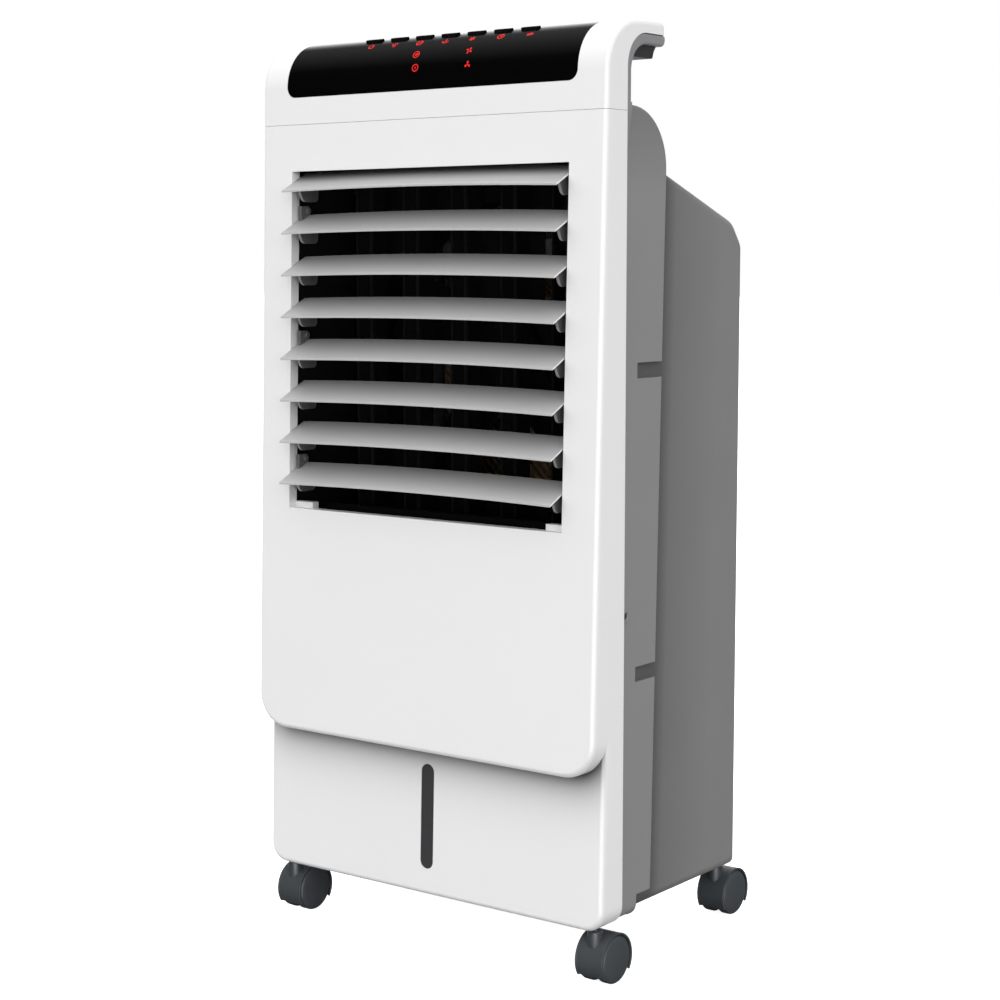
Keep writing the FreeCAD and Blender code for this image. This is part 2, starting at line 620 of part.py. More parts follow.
def make_base_tray():
    """Floor of the cooler: carries the rear casters and the tank, with a plinth to lift it by."""
    points = [(-TRAY_HALF, TANK_FRONT, 6), (TRAY_HALF, TANK_FRONT, 6), (TRAY_HALF, REAR_BACK - 11, 6),
              (-TRAY_HALF, REAR_BACK - 11, 6)]
    tray = prism_z(points, TRAY_BOTTOM, TRAY_BOTTOM + TRAY_THICK)
    plinth = prism_z([(-PLINTH_HALF, PLINTH_FRONT, 8), (PLINTH_HALF, PLINTH_FRONT, 8),
                      (PLINTH_HALF, PLINTH_BACK, 8), (-PLINTH_HALF, PLINTH_BACK, 8)], PLINTH_Z, TRAY_BOTTOM + 1)
    tray = joined([tray, plinth])
    for name in ("rear_left", "rear_right"):
        x, stem_y = CASTERS[name]
        tray = tray.cut(rod((x, stem_y, TRAY_BOTTOM - 1), (0, 0, 1), SOCKET_R + GAP, 6))
    return tray


# ---------------------------------------------------------------- louvres
def louvre_front_z(index):
    return LOUVRE_FIRST - index * LOUVRE_PITCH


def louvre_pivot(index):
    z = louvre_front_z(index)
    return face_depth(z) + LOUVRE_FRONT + PIVOT_BEHIND, z + PIVOT_ABOVE


def make_louvre(index):
    """Arched blade that slopes down to the front, on two ears with pivot pins."""
    z = louvre_front_z(index)
    front = face_depth(z) + LOUVRE_FRONT
    pivot_y, pivot_z = louvre_pivot(index)
    low = FreeCAD.Vector(-LOUVRE_HALF, front, z)
    middle = FreeCAD.Vector(0, front, z + LOUVRE_ARCH)
    high = FreeCAD.Vector(LOUVRE_HALF, front, z)
    up = FreeCAD.Vector(0, 0, LOUVRE_THICK)
    edges = [Part.Arc(low, middle, high).toShape(), Part.LineSegment(high, high + up).toShape(),
             Part.Arc(high + up, middle + up, low + up).toShape(), Part.LineSegment(low + up, low).toShape()]
    blade = Part.Face(Part.Wire(edges)).extrude(FreeCAD.Vector(0, LOUVRE_RUN, LOUVRE_RISE))
    slope = LOUVRE_RISE / LOUVRE_RUN
    parts = [blade]
    for side in (-1, 1):
        y0 = front + EAR_START
        y1 = front + EAR_END
        top = z + LOUVRE_RISE + 0.8
        ear = [(y0, z + EAR_START * slope + 0.8), (y0 + EAR_SWEEP, z - EAR_DROP, 6.0),
               (y1 - 2, z - EAR_DROP, 4.0), (y1, top - 6, 3.0), (front + LOUVRE_RUN - 0.5, top)]
        if side > 0:
            crank_y = pivot_y + CRANK[0] + 4
            crank_z = pivot_z + CRANK[1]
            ear[2:4] = [(crank_y, crank_z - 4.4, 3.5), (crank_y, crank_z + 5, 3.0)]
        x0 = side * EAR_AT - EAR_THICK / 2
        parts.append(prism_x(ear, x0, x0 + EAR_THICK))
        parts.append(rod((side * EAR_AT, pivot_y, pivot_z), (side, 0, 0), PIN_R, DUCT_HALF + 2.2 - EAR_AT))
    parts.append(rod((EAR_AT, pivot_y + CRANK[0], pivot_z + CRANK[1]), (1, 0, 0), LINK_PIN_R,
                     LINK_AT + LINK_THICK + 0.2 - EAR_AT))
    return joined(parts)


def make_louvre_link():
    """Upright bar on the crank pins that tilts all the louvres together."""
    top_y, top_z = louvre_pivot(0)
    low_y, low_z = louvre_pivot(LOUVRES - 1)
    low_y, low_z = low_y + CRANK[0], low_z + CRANK[1] - 5
    top_y, top_z = top_y + CRANK[0], top_z + CRANK[1] + 5
    points = [(low_y - LINK_HALF, low_z, 2), (low_y + LINK_HALF, low_z, 2),
              (top_y + LINK_HALF, top_z, 2), (top_y - LINK_HALF, top_z, 2)]
    bar = prism_x(points, LINK_AT, LINK_AT + LINK_THICK)
    for index in range(LOUVRES):
        y, z = louvre_pivot(index)
        bar = bar.cut(rod((EAR_AT, y + CRANK[0], z + CRANK[1]), (1, 0, 0), LINK_PIN_R + FIT, 20))
    return bar


def make_louvre_frame():
    """Dark duct behind the outlet that carries the louvres and the upright vanes."""
    wall = DUCT_WALL
    front_low = face_depth(DUCT_BOTTOM - wall) + BEZEL + GAP
    front_high = face_depth(DUCT_TOP + wall) + BEZEL + GAP
    outer = prism_x([(front_low, DUCT_BOTTOM - wall), (DUCT_BACK, DUCT_BOTTOM - wall),
                     (DUCT_BACK, DUCT_TOP + wall), (front_high, DUCT_TOP + wall)],
                    -DUCT_HALF - wall, DUCT_HALF + wall)
    hollow = box(-DUCT_HALF, DUCT_HALF, -30, DUCT_BACK + 1, DUCT_BOTTOM, DUCT_TOP)
    frame = outer.cut(hollow)
    sill = box(-DUCT_HALF, DUCT_HALF, 26, 29, DUCT_BOTTOM - 1, OPEN_BOTTOM + 2)
    frame = frame.fuse(sill)
    for index in range(LOUVRES):
        y, z = louvre_pivot(index)
        frame = frame.cut(rod((-HALF, y, z), (1, 0, 0), PIN_R + FIT, WIDTH))
    for index in range(VANES):
        x = vane_x(index)
        frame = frame.cut(rod((x, VANE_PIVOT, DUCT_BOTTOM - wall - 1), (0, 0, 1), PIN_R + FIT, wall + 2))
        frame = frame.cut(rod((x, VANE_PIVOT, DUCT_TOP - 1), (0, 0, 1), PIN_R + FIT, wall + 2))
    return frame.removeSplitter()


# ---------------------------------------------------------------- upright vanes
def vane_x(index):
    return (index - (VANES - 1) / 2) * VANE_PITCH


def make_vane(index):
    """Upright blade on a post, with a crank pin at the foot."""
    x = vane_x(index)
    half = VANE_THICK / 2
    plate = prism_z([(x - half, VANE_FRONT, 0.8), (x + half, VANE_FRONT, 0.8), (x + half, VANE_BACK, 0.8),
                     (x - half, VANE_BACK, 0.8)], VANE_FOOT, VANE_HEAD)
    post = rod((x, VANE_PIVOT, DUCT_BOTTOM - 3.0), (0, 0, 1), PIN_R, DUCT_TOP - DUCT_BOTTOM + 6.0)
    collar = rod((x, VANE_PIVOT, VANE_FOOT - 1), (0, 0, 1), COLLAR_R, VANE_HEAD - VANE_FOOT + 2)
    pin = rod((x, VANE_PIVOT + VANE_CRANK, VANE_FOOT - 4.2), (0, 0, 1), LINK_PIN_R, 6)
    return joined([plate, post, collar, pin])


def make_vane_link():
    """Flat bar on the vane cranks that swings all the vanes together."""
    reach = vane_x(VANES - 1) + 5
    y = VANE_PIVOT + VANE_CRANK
    bar = prism_z([(-reach, y - LINK_HALF, 3.0), (reach, y - LINK_HALF, 3.0), (reach, y + LINK_HALF, 3.0),
                   (-reach, y + LINK_HALF, 3.0)], VANE_FOOT - 3.8, VANE_FOOT - 1.4)
    for index in range(VANES):
        bar = bar.cut(rod((vane_x(index), y, DUCT_BOTTOM), (0, 0, 1), LINK_PIN_R + FIT, 8))
    return bar


def make_swing_motor():
    """Small geared motor under the duct that swings the vanes."""
    top = DUCT_BOTTOM - DUCT_WALL - GAP
    y = VANE_PIVOT + 2
    left, right = SWING_MOTOR_X - SWING_MOTOR_R - 8, SWING_MOTOR_X + SWING_MOTOR_R + 8
    can = rod((SWING_MOTOR_X, y, top - SWING_MOTOR_TALL), (0, 0, 1), SWING_MOTOR_R, SWING_MOTOR_TALL)
    ears = prism_z([(left, y - 4, 3), (right, y - 4, 3), (right, y + 4, 3), (left, y + 4, 3)], top - 1.4, top)
    return joined([can, ears])


# ---------------------------------------------------------------- fan
def make_fan_shroud():
    """Plate with a round throat, and four posts for the motor bracket."""
    plate = prism_y(rounded_rect(SHROUD_HALF, FAN_Z - 153, FAN_Z + 140, 12), SHROUD_FRONT, SHROUD_BACK)
    ring = rod((0, SHROUD_BACK, FAN_Z), (0, 1, 0), FAN_BORE + 3, FAN_BACK + 4 - SHROUD_BACK)
    shroud = joined([plate, ring])
    shroud = shroud.cut(rod((0, DUCT_BACK, FAN_Z), (0, 1, 0), FAN_BORE, 60))
    posts = []
    for x in (-POST_AT, POST_AT):
        for z in (FAN_Z - POST_AT, FAN_Z + POST_AT):
            posts.append(rod((x, SHROUD_BACK, z), (0, 1, 0), POST_R, BRACKET_AT - SHROUD_BACK))
    return joined([shroud] + posts)


def make_fan_impeller():
    hub = rod((0, FAN_FRONT, FAN_Z), (0, 1, 0), HUB_R, FAN_BACK - FAN_FRONT)
    hub = soften(hub, 8.0, lambda e, m: m.y < FAN_FRONT + 0.1)
    parts = [hub]
    middle = (FAN_FRONT + FAN_BACK) / 2
    origin = FreeCAD.Vector(0, 0, 0)
    for turn in range(BLADES):
        blade = box(-BLADE_HALF_WIDE, BLADE_HALF_WIDE, -BLADE_HALF_THICK, BLADE_HALF_THICK,
                    HUB_R - HUB_DEEP, FAN_TIP + 20)
        blade.rotate(origin, FreeCAD.Vector(0, 0, 1), BLADE_PITCH)
        blade = blade.common(rod((0, -20, 0), (0, 1, 0), FAN_TIP, 40))
        blade.rotate(origin, FreeCAD.Vector(0, 1, 0), turn * 360 / BLADES)
        parts.append(moved(blade, 0, middle, FAN_Z))
    fan = joined(parts)
    return fan.cut(rod((0, FAN_BACK - 16, FAN_Z), (0, 1, 0), SHAFT_R + 0.05, 20))


def make_fan_motor():
    can = rod((0, MOTOR_FRONT, FAN_Z), (0, 1, 0), MOTOR_R, BRACKET_AT - MOTOR_FRONT)
    can = soften(can, 5.0, lambda e, m: True)
    shaft = rod((0, FAN_BACK - 14, FAN_Z), (0, 1, 0), SHAFT_R, 24)
    return joined([can, shaft])


def make_motor_bracket():
    """Cross of two flat arms between the shroud posts, with a plate behind the motor."""
    y = BRACKET_AT
    plate = rod((0, y, FAN_Z), (0, 1, 0), MOTOR_R + 5, BRACKET_THICK)
    parts = [plate]
    for angle in (45, 135):
        arm = box(-ARM_HALF, ARM_HALF, y, y + BRACKET_THICK, -ARM_HALF_WIDE, ARM_HALF_WIDE)
        arm.rotate(FreeCAD.Vector(0, 0, 0), FreeCAD.Vector(0, 1, 0), angle)
        parts.append(moved(arm, 0, 0, FAN_Z))
    return joined(parts)


# ---------------------------------------------------------------- wet side
def make_cooling_pad():
    """Corrugated evaporative pad, a plain block with a shallow honeycomb face."""
    pad = box(-PAD_HALF, PAD_HALF, PAD_FRONT, PAD_BACK, PAD_BOTTOM, PAD_TOP)
    grooves = []
    for index in range(int(PAD_HALF * 2 / GROOVE_PITCH)):
        x = -PAD_HALF + GROOVE_PITCH * (index + 0.5)
        grooves.append(box(x - GROOVE_HALF, x + GROOVE_HALF, PAD_BACK - GROOVE_DEEP, PAD_BACK + 1,
                           PAD_BOTTOM + 6, PAD_TOP - 6))
    return pad.cut(grooves[0].multiFuse(grooves[1:]))


def make_water_distributor():
    """Trough above the pad with drip holes along its floor."""
    wall = TROUGH_WALL
    floor = PAD_TOP + 1
    trough = box(-PAD_HALF, PAD_HALF, PAD_FRONT - wall, PAD_BACK + wall, floor, floor + TROUGH_TALL)
    trough = trough.cut(box(-PAD_HALF + wall, PAD_HALF - wall, PAD_FRONT, PAD_BACK, floor + wall,
                            floor + TROUGH_TALL + 1))
    first = -PAD_HALF + 14
    step = -2 * first / (DRIP_HOLES - 1)
    for index in range(DRIP_HOLES):
        trough = trough.cut(rod((first + index * step, (PAD_FRONT + PAD_BACK) / 2, PAD_TOP), (0, 0, 1), 1.6, 5))
    return trough


def make_riser_hose():
    """Hose from the pump's pipe to the trough: up, across, and back over the trough's edge."""
    top = PAD_TOP + 22
    bend = HOSE_BEND
    turn = bend * (1 - math.sqrt(0.5))
    low = FreeCAD.Vector(HOSE_X, HOSE_Y, TANK_TOP + 4)
    bend_start = FreeCAD.Vector(HOSE_X, HOSE_Y, top - bend)
    bend_middle = FreeCAD.Vector(HOSE_X + turn, HOSE_Y, top - turn)
    bend_end = FreeCAD.Vector(HOSE_X + bend, HOSE_Y, top)
    corner = FreeCAD.Vector(HOSE_X + 30, HOSE_Y, top)
    path = Part.Wire([Part.LineSegment(low, bend_start).toShape(),
                      Part.Arc(bend_start, bend_middle, bend_end).toShape(),
                      Part.LineSegment(bend_end, corner).toShape()])
    section = Part.Wire(Part.makeCircle(HOSE_R, low, FreeCAD.Vector(0, 0, 1)))
    hose = path.makePipeShell([section], True, False)
    spout = rod(tuple(corner), (0, 1, 0), HOSE_R, 18)
    return joined([hose, spout, Part.makeSphere(HOSE_R, corner)])


def make_pump():
    """Submersible pump standing in the tank, with an outlet pipe up to the hose."""
    def block(grow, z0, z1):
        left, right = PUMP_X - PUMP_HALF - grow, PUMP_X + PUMP_HALF + grow
        front, back = HOSE_Y - PUMP_HALF_LONG - grow, HOSE_Y + PUMP_HALF_LONG + grow
        return prism_z([(left, front, 5), (right, front, 5), (right, back, 5), (left, back, 5)], z0, z1)
    body = block(0, TANK_BOTTOM + 5, TANK_BOTTOM + 48)
    foot = block(4, TANK_BOTTOM + TANK_WALL + 0.2, TANK_BOTTOM + 6.2)
    arm = rod((HOSE_X, HOSE_Y, PUMP_ELBOW), (1, 0, 0), HOSE_R, PUMP_X - HOSE_X)
    pipe = rod((HOSE_X, HOSE_Y, PUMP_ELBOW), (0, 0, 1), HOSE_R, TANK_TOP + 1.6 - PUMP_ELBOW)
    elbow = Part.makeSphere(HOSE_R, FreeCAD.Vector(HOSE_X, HOSE_Y, PUMP_ELBOW))
    return joined([body, foot, arm, pipe, elbow])


def make_water_tank():
    """Drawer that slides out at the back: open box with a hole for the finger pull in its back wall."""
    wall = TANK_WALL
    tank = box(-TANK_HALF, TANK_HALF, TANK_FRONT, TANK_BACK, TANK_BOTTOM, TANK_TOP)
    tank = soften(tank, 6.0, lambda e, m: abs(m.z - (TANK_TOP + TANK_BOTTOM) / 2) < 1 and m.y < 100)
    inside = box(-TANK_HALF + wall, TANK_HALF - wall, TANK_FRONT + wall, TANK_BACK - TANK_BACK_WALL,
                 TANK_BOTTOM + wall, TANK_TOP + 1)
    tank = tank.cut(inside)
    pull = prism_y(rounded_rect(PULL_HALF, PULL_Z - PULL_TALL / 2, PULL_Z + PULL_TALL / 2, 8),
                   TANK_BACK - 6, TANK_BACK + 1)
    tank = tank.cut(pull)
    drain = rod((DRAIN_AT[0], TANK_BACK - 6, DRAIN_AT[1]), (0, 1, 0), DRAIN_R + FIT, 12)
    return tank.cut(drain).removeSplitter()


def make_tank_handle():
    """Finger pull pressed into the drawer's back wall: a cup with a flat rim."""
    def cup_outline(grow, radius):
        half_tall = PULL_TALL / 2 + grow
        return rounded_rect(PULL_HALF + grow, PULL_Z - half_tall, PULL_Z + half_tall, radius)
    body = prism_y(cup_outline(-0.1, 7.9), TANK_BACK - 16, TANK_BACK + 0.5)
    rim = prism_y(cup_outline(3.0, 11.0), TANK_BACK + 0.1, TANK_BACK + 1.6)
    scoop = prism_y(cup_outline(-2.4, 5.6), TANK_BACK - 14, TANK_BACK + 3)
    return joined([body, rim]).cut(scoop)


def make_drain_plug():
    """Round stopper in the tank's back wall, with a thumb rib."""
    x, z = DRAIN_AT
    bung = rod((x, TANK_BACK - 5.5, z), (0, 1, 0), DRAIN_R, 6)
    flange = rod((x, TANK_BACK + 0.3, z), (0, 1, 0), DRAIN_R + 3, 2.2)
    rib = box(x - 1.5, x + 1.5, TANK_BACK + 2.4, TANK_BACK + 5.4, z - 8, z + 8)
    return joined([bung, flange, rib])


def make_tank_lock():
    """Turn button above the drawer on a pin in the back shell."""
    tab = prism_y([(-6, LOCK_Z - 6, 5.9), (22, LOCK_Z - 6, 5.9), (22, LOCK_Z + 6, 5.9), (-6, LOCK_Z + 6, 5.9)],
                  REAR_BACK + 0.5, REAR_BACK + 3.3)
    return joined([tab, rod((0, REAR_BACK - 5, LOCK_Z), (0, 1, 0), LOCK_PIN_R, 7)])


def make_rear_grille():
    """Removable intake grille: frame with level bars and three uprights."""
    half = GRILLE_HALF
    z0 = PAD_BOTTOM + 2
    z1 = PAD_TOP
    front = REAR_BACK + GAP
    plate = prism_y(rounded_rect(half, z0, z1, 16), front, front + GRILLE_THICK)
    plate = soften(plate, 2.0, lambda e, m: m.y > front + GRILLE_THICK - 0.1)
    pitch = (z1 - z0 - 2 * GRILLE_BORDER) / GRILLE_BARS
    slots = []
    for index in range(GRILLE_BARS):
        low = z0 + GRILLE_BORDER + pitch * index + 2.6
        high = low + pitch - 4.0
        for x0, x1 in ((-half + GRILLE_BORDER, -44), (-40, 40), (44, half - GRILLE_BORDER)):
            slots.append(prism_y([(x0, low, 2), (x1, low, 2), (x1, high, 2), (x0, high, 2)],
                                 front - 1, front + 6))
    plate = plate.cut(slots[0].multiFuse(slots[1:]))
    hooks = [box(x - 9, x + 9, front - 12.5, front + 1, z - 1.5, z + 1.5)
             for x in (-84, 84) for z in (PAD_BOTTOM + 13, PAD_TOP - 11)]
    return joined([plate] + hooks)


def make_dust_filter():
    """Thin filter frame with a net of crossed ribs behind the grille."""
    border = 4.0
    z0, z1 = PAD_BOTTOM + 20, PAD_TOP - 18
    y0, y1 = REAR_BACK - 11, REAR_BACK - 8.5
    frame = box(-FILTER_HALF, FILTER_HALF, y0, y1, z0, z1)
    cells = []
    wide = 2 * (FILTER_HALF - border) / FILTER_COLUMNS
    tall = (z1 - z0 - 2 * border) / FILTER_ROWS
    for column in range(FILTER_COLUMNS):
        for row in range(FILTER_ROWS):
            x = -FILTER_HALF + border + wide * column
            z = z0 + border + tall * row
            cells.append(box(x + 1, x + wide - 1, y0 - 1, y0 + 1.7, z + 1, z + tall - 1))
    return frame.cut(cells[0].multiFuse(cells[1:]))


# ---------------------------------------------------------------- small pieces
def make_water_window():
    """Level window: a lens in the slot of the lower front, with a flange behind the wall."""
    z0, z1 = WINDOW_BOTTOM - 4, WINDOW_TOP + 4

    def leaning_slab(near, far):
        """Layer between two depths behind the lower front's face."""
        low, high = face_depth(z0) + LOWER_SET_BACK, face_depth(z1) + LOWER_SET_BACK
        return prism_x([(low + near, z0), (low + far, z0), (high + far, z1), (high + near, z1)], -12, 12)
    lens = prism_y(rounded_rect(WINDOW_HALF - 0.15, WINDOW_BOTTOM + 0.15, WINDOW_TOP - 0.15, WINDOW_HALF - 0.2),
                   -20, 20)
    rim = prism_y(rounded_rect(WINDOW_HALF + WINDOW_RIM, WINDOW_BOTTOM - WINDOW_RIM, WINDOW_TOP + WINDOW_RIM,
                               WINDOW_HALF + WINDOW_RIM - 0.1), -20, 20)
    return joined([lens.common(leaning_slab(0.5, SKIN + 1.2)),
                   rim.common(leaning_slab(SKIN + 0.05, SKIN + 1.6))])


def make_power_inlet():
    """Strain relief for the mains cord, low on the back shell."""
    x, z = INLET_AT
    barrel = rod((x, REAR_BACK - 7, z), (0, 1, 0), INLET_R, 8)
    flange = rod((x, REAR_BACK + 0.2, z), (0, 1, 0), 9.4, 3)
    neck = rod((x, REAR_BACK + 3, z), (0, 1, 0), 5.4, 3.6)
    return joined([barrel, flange, neck]).cut(rod((x, REAR_BACK - 8, z), (0, 1, 0), 3.4, 18))


def make_side_studs():
    """Two domed screws on the sides and a tie rod between them."""
    y, z = STUD_AT
    parts = [rod((-MID_HALF - 1.6, y, z), (1, 0, 0), STUD_ROD_R, 2 * MID_HALF + 3.2)]
    for side in (-1, 1):
        parts.append(rod((side * (MID_HALF + GAP), y, z), (side, 0, 0), STUD_HEAD_R, 2.4))
    return joined(parts)


def make_hood(name):
    """Caster hood: drum open below, with a stem at its front end."""
    x, stem_y = CASTERS[name]
    wheel_y = stem_y + TRAIL
    half = CASTER_WIDE / 2
    drum = rod((x - half + 1.6, wheel_y, WHEEL_R), (1, 0, 0), HOOD_R, CASTER_WIDE - 3.2)
    room = HOOD_R - 1.4
    web = 1.2
    drum = drum.cut(rod((x - half, wheel_y, WHEEL_R), (1, 0, 0), room, half - web))
    drum = drum.cut(rod((x + web, wheel_y, WHEEL_R), (1, 0, 0), room, half - web))
    drum = drum.cut(box(x - half - 1, x + half + 1, wheel_y - 30, wheel_y + 30, -10, WHEEL_R - 12))
    boss = rod((x - 6.0, wheel_y, WHEEL_R), (1, 0, 0), 6.0, 12.0)
    stem = rod((x, stem_y, WHEEL_R + 2), (0, 0, 1), STEM_R, BODY_BOTTOM - WHEEL_R - 4.6)
    pin = rod((x, stem_y, BODY_BOTTOM - 6), (0, 0, 1), PIVOT_PIN_R, PIVOT_PIN_TOP - BODY_BOTTOM + 6)
    room_cut = rod((x - half, wheel_y, WHEEL_R), (1, 0, 0), room, CASTER_WIDE)
    stem = stem.cut(room_cut)
    hood = joined([drum, boss, stem, pin])
    return hood.cut(rod((x - 8, wheel_y, WHEEL_R), (1, 0, 0), AXLE_R + FIT, 16))


def make_wheels(name):
    """Two wheels on one axle, each with a shallow domed face."""
    x, stem_y = CASTERS[name]
    wheel_y = stem_y + TRAIL
    parts = [rod((x - 12, wheel_y, WHEEL_R), (1, 0, 0), AXLE_R, 24)]
    for side in (-1, 1):
        start = x + side * (CASTER_WIDE / 2 - WHEEL_WIDE)
        wheel = rod((start, wheel_y, WHEEL_R), (side, 0, 0), WHEEL_R, WHEEL_WIDE)
        wheel = soften(wheel, 1.6, lambda e, m: True)
        inner = rod((start, wheel_y, WHEEL_R), (side, 0, 0), 7.0, 3.4)
        parts.append(wheel.cut(inner))
    return joined(parts)


def build_all():
    os.makedirs("parts", exist_ok=True)
    save("front_cover", make_front_cover())
    save("top_cover", make_top_cover())
    save("handle_liner", make_handle_liner())
    save("handle_grip", make_handle_grip())
    save("control_panel", make_control_panel())
    save("control_board", make_control_board())
    for index, name in enumerate(BUTTON_NAMES):
        save("button_" + name, make_button(index))
    save("mid_frame", make_mid_frame())
    save("rear_housing", make_rear_housing())
    save("base_tray", make_base_tray())
    save("water_window", make_water_window())
    save("louvre_frame", make_louvre_frame())
    for index in range(LOUVRES):
        save("louvre_%d" % (index + 1), make_louvre(index))
    save("louvre_link", make_louvre_link())
    for index in range(VANES):
        save("vane_%d" % (index + 1), make_vane(index))
    save("vane_link", make_vane_link())
    save("swing_motor", make_swing_motor())
    save("fan_shroud", make_fan_shroud())
    save("fan_impeller", make_fan_impeller())
    save("fan_motor", make_fan_motor())
    save("motor_bracket", make_motor_bracket())
    save("rear_panel", make_rear_panel())
    save("rear_grille", make_rear_grille())
    save("dust_filter", make_dust_filter())
    save("cooling_pad", make_cooling_pad())
    save("water_distributor", make_water_distributor())
    save("riser_hose", make_riser_hose())
    save("pump", make_pump())
    save("water_tank", make_water_tank())
    save("tank_handle", make_tank_handle())
    save("tank_lock", make_tank_lock())
    save("drain_plug", make_drain_plug())
    save("power_inlet", make_power_inlet())
    save("side_studs", make_side_studs())
    for name in CASTERS:
        save("caster_hood_" + name, make_hood(name))
        save("caster_wheels_" + name, make_wheels(name))


build_all()
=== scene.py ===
"""Looks for the portable evaporative air cooler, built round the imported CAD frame.

Shapes made here are given in millimetres as (x, depth, height), the way the CAD
source measures them, and mm() turns them into the frame's metres.
"""
import json
import math

import bmesh
import bpy
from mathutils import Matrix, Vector


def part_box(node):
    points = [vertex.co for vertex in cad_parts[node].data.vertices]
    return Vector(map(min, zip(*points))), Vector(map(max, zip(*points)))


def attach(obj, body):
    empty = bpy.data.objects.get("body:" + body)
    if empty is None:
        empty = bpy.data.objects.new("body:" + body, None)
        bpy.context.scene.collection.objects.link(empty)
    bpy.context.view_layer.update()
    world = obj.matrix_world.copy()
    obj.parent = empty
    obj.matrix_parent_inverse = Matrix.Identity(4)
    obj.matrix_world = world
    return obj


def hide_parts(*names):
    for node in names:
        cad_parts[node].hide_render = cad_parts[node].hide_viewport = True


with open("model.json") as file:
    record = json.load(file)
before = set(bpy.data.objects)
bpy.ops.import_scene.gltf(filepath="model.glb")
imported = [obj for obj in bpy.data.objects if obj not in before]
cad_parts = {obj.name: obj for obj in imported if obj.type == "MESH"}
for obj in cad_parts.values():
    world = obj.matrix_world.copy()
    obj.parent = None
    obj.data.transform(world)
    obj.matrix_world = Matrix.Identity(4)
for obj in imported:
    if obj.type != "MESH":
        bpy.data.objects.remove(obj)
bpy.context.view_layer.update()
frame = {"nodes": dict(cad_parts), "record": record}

NODES = frame["nodes"]
REAR_BACK = 236.5                       # depth of the back shell's flat back
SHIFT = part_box("rear_housing")[1].y * 1000 - REAR_BACK
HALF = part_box("front_cover")[1].x * 1000
LEAN = 0.0295                           # the face comes forward towards the floor
OPEN_TOP = 659.6
LOWER_SET_BACK = 17.2
PANEL_BOTTOM = 174.7
PANEL_RADIUS = 30.0

CASTERS = ("front_left", "front_right", "rear_left", "rear_right")
BUTTONS = ("power", "speed", "mode", "swing", "cool", "timer", "ion")
LOUVRES = 8
LOUVRE_FIRST = 641.4                    # height of the top blade's front edge
LOUVRE_PITCH = 35.67
LOUVRE_FRONT = -14.5
LOUVRE_RUN = 30.9
LOUVRE_RISE = 15.6
NOTCHES = (496.6, 250.7)                # heights of the grip notches in the mid band
VANES = 5

# sideways distances from the middle, in metres, between which painted shade comes in (painted light on the
# blade ends)
BLADE_END = (0.1436, 0.1438)
BAND_EDGE = (0.1722, 0.1748)
NOTCH_FLOOR = (0.1708, 0.1745)
NOTCH_HALF = 0.0066                     # half a grip notch's height, in metres
SQUARE_ON = (0.5, 0.9)                  # how squarely a face looks sideways, for the louvres' painted shade and light


# ------------------------------------------------------------------ placing
def mm(x, depth, z):
    return Vector((x, depth + SHIFT, z)) / 1000


def face_depth(z):
    return LEAN * (z - OPEN_TOP)


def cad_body(node):
    """Name of the moving body a CAD node belongs to."""
    groups = frame["record"]["behaviour"]["bodies"]
    return next(body for body, members in groups.items() if node in members)


def node_box(name):
    """A CAD node's lowest and highest corner as (x, depth, height) in millimetres."""
    low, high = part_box(name)
    shift = Vector((0, SHIFT, 0))
    return low * 1000 - shift, high * 1000 - shift


# ------------------------------------------------------------------ materials
def value_map(nodes, links, source, low, high, from_low=0.3, from_high=0.7):
    ramp = nodes.new("ShaderNodeMapRange")
    ramp.inputs["From Min"].default_value = from_low
    ramp.inputs["From Max"].default_value = from_high
    ramp.inputs["To Min"].default_value = low
    ramp.inputs["To Max"].default_value = high
    links.new(source, ramp.inputs["Value"])
    return ramp.outputs["Result"]


def noise_node(nodes, links, place, scale, detail=3.0, roughness=0.5):
    made = nodes.new("ShaderNodeTexNoise")
    made.inputs["Scale"].default_value = scale
    made.inputs["Detail"].default_value = detail
    made.inputs["Roughness"].default_value = roughness
    links.new(place, made.inputs["Vector"])
    return made.outputs["Fac"]


def shade(colour, factor):
    return tuple(min(1.0, c * factor) for c in colour) + (1.0,)


GRAIN_DEPTH = 0.00008                   # metres
DRIFT_SHARE = 0.65                      # share of the slow drift in the colour; specks are the rest


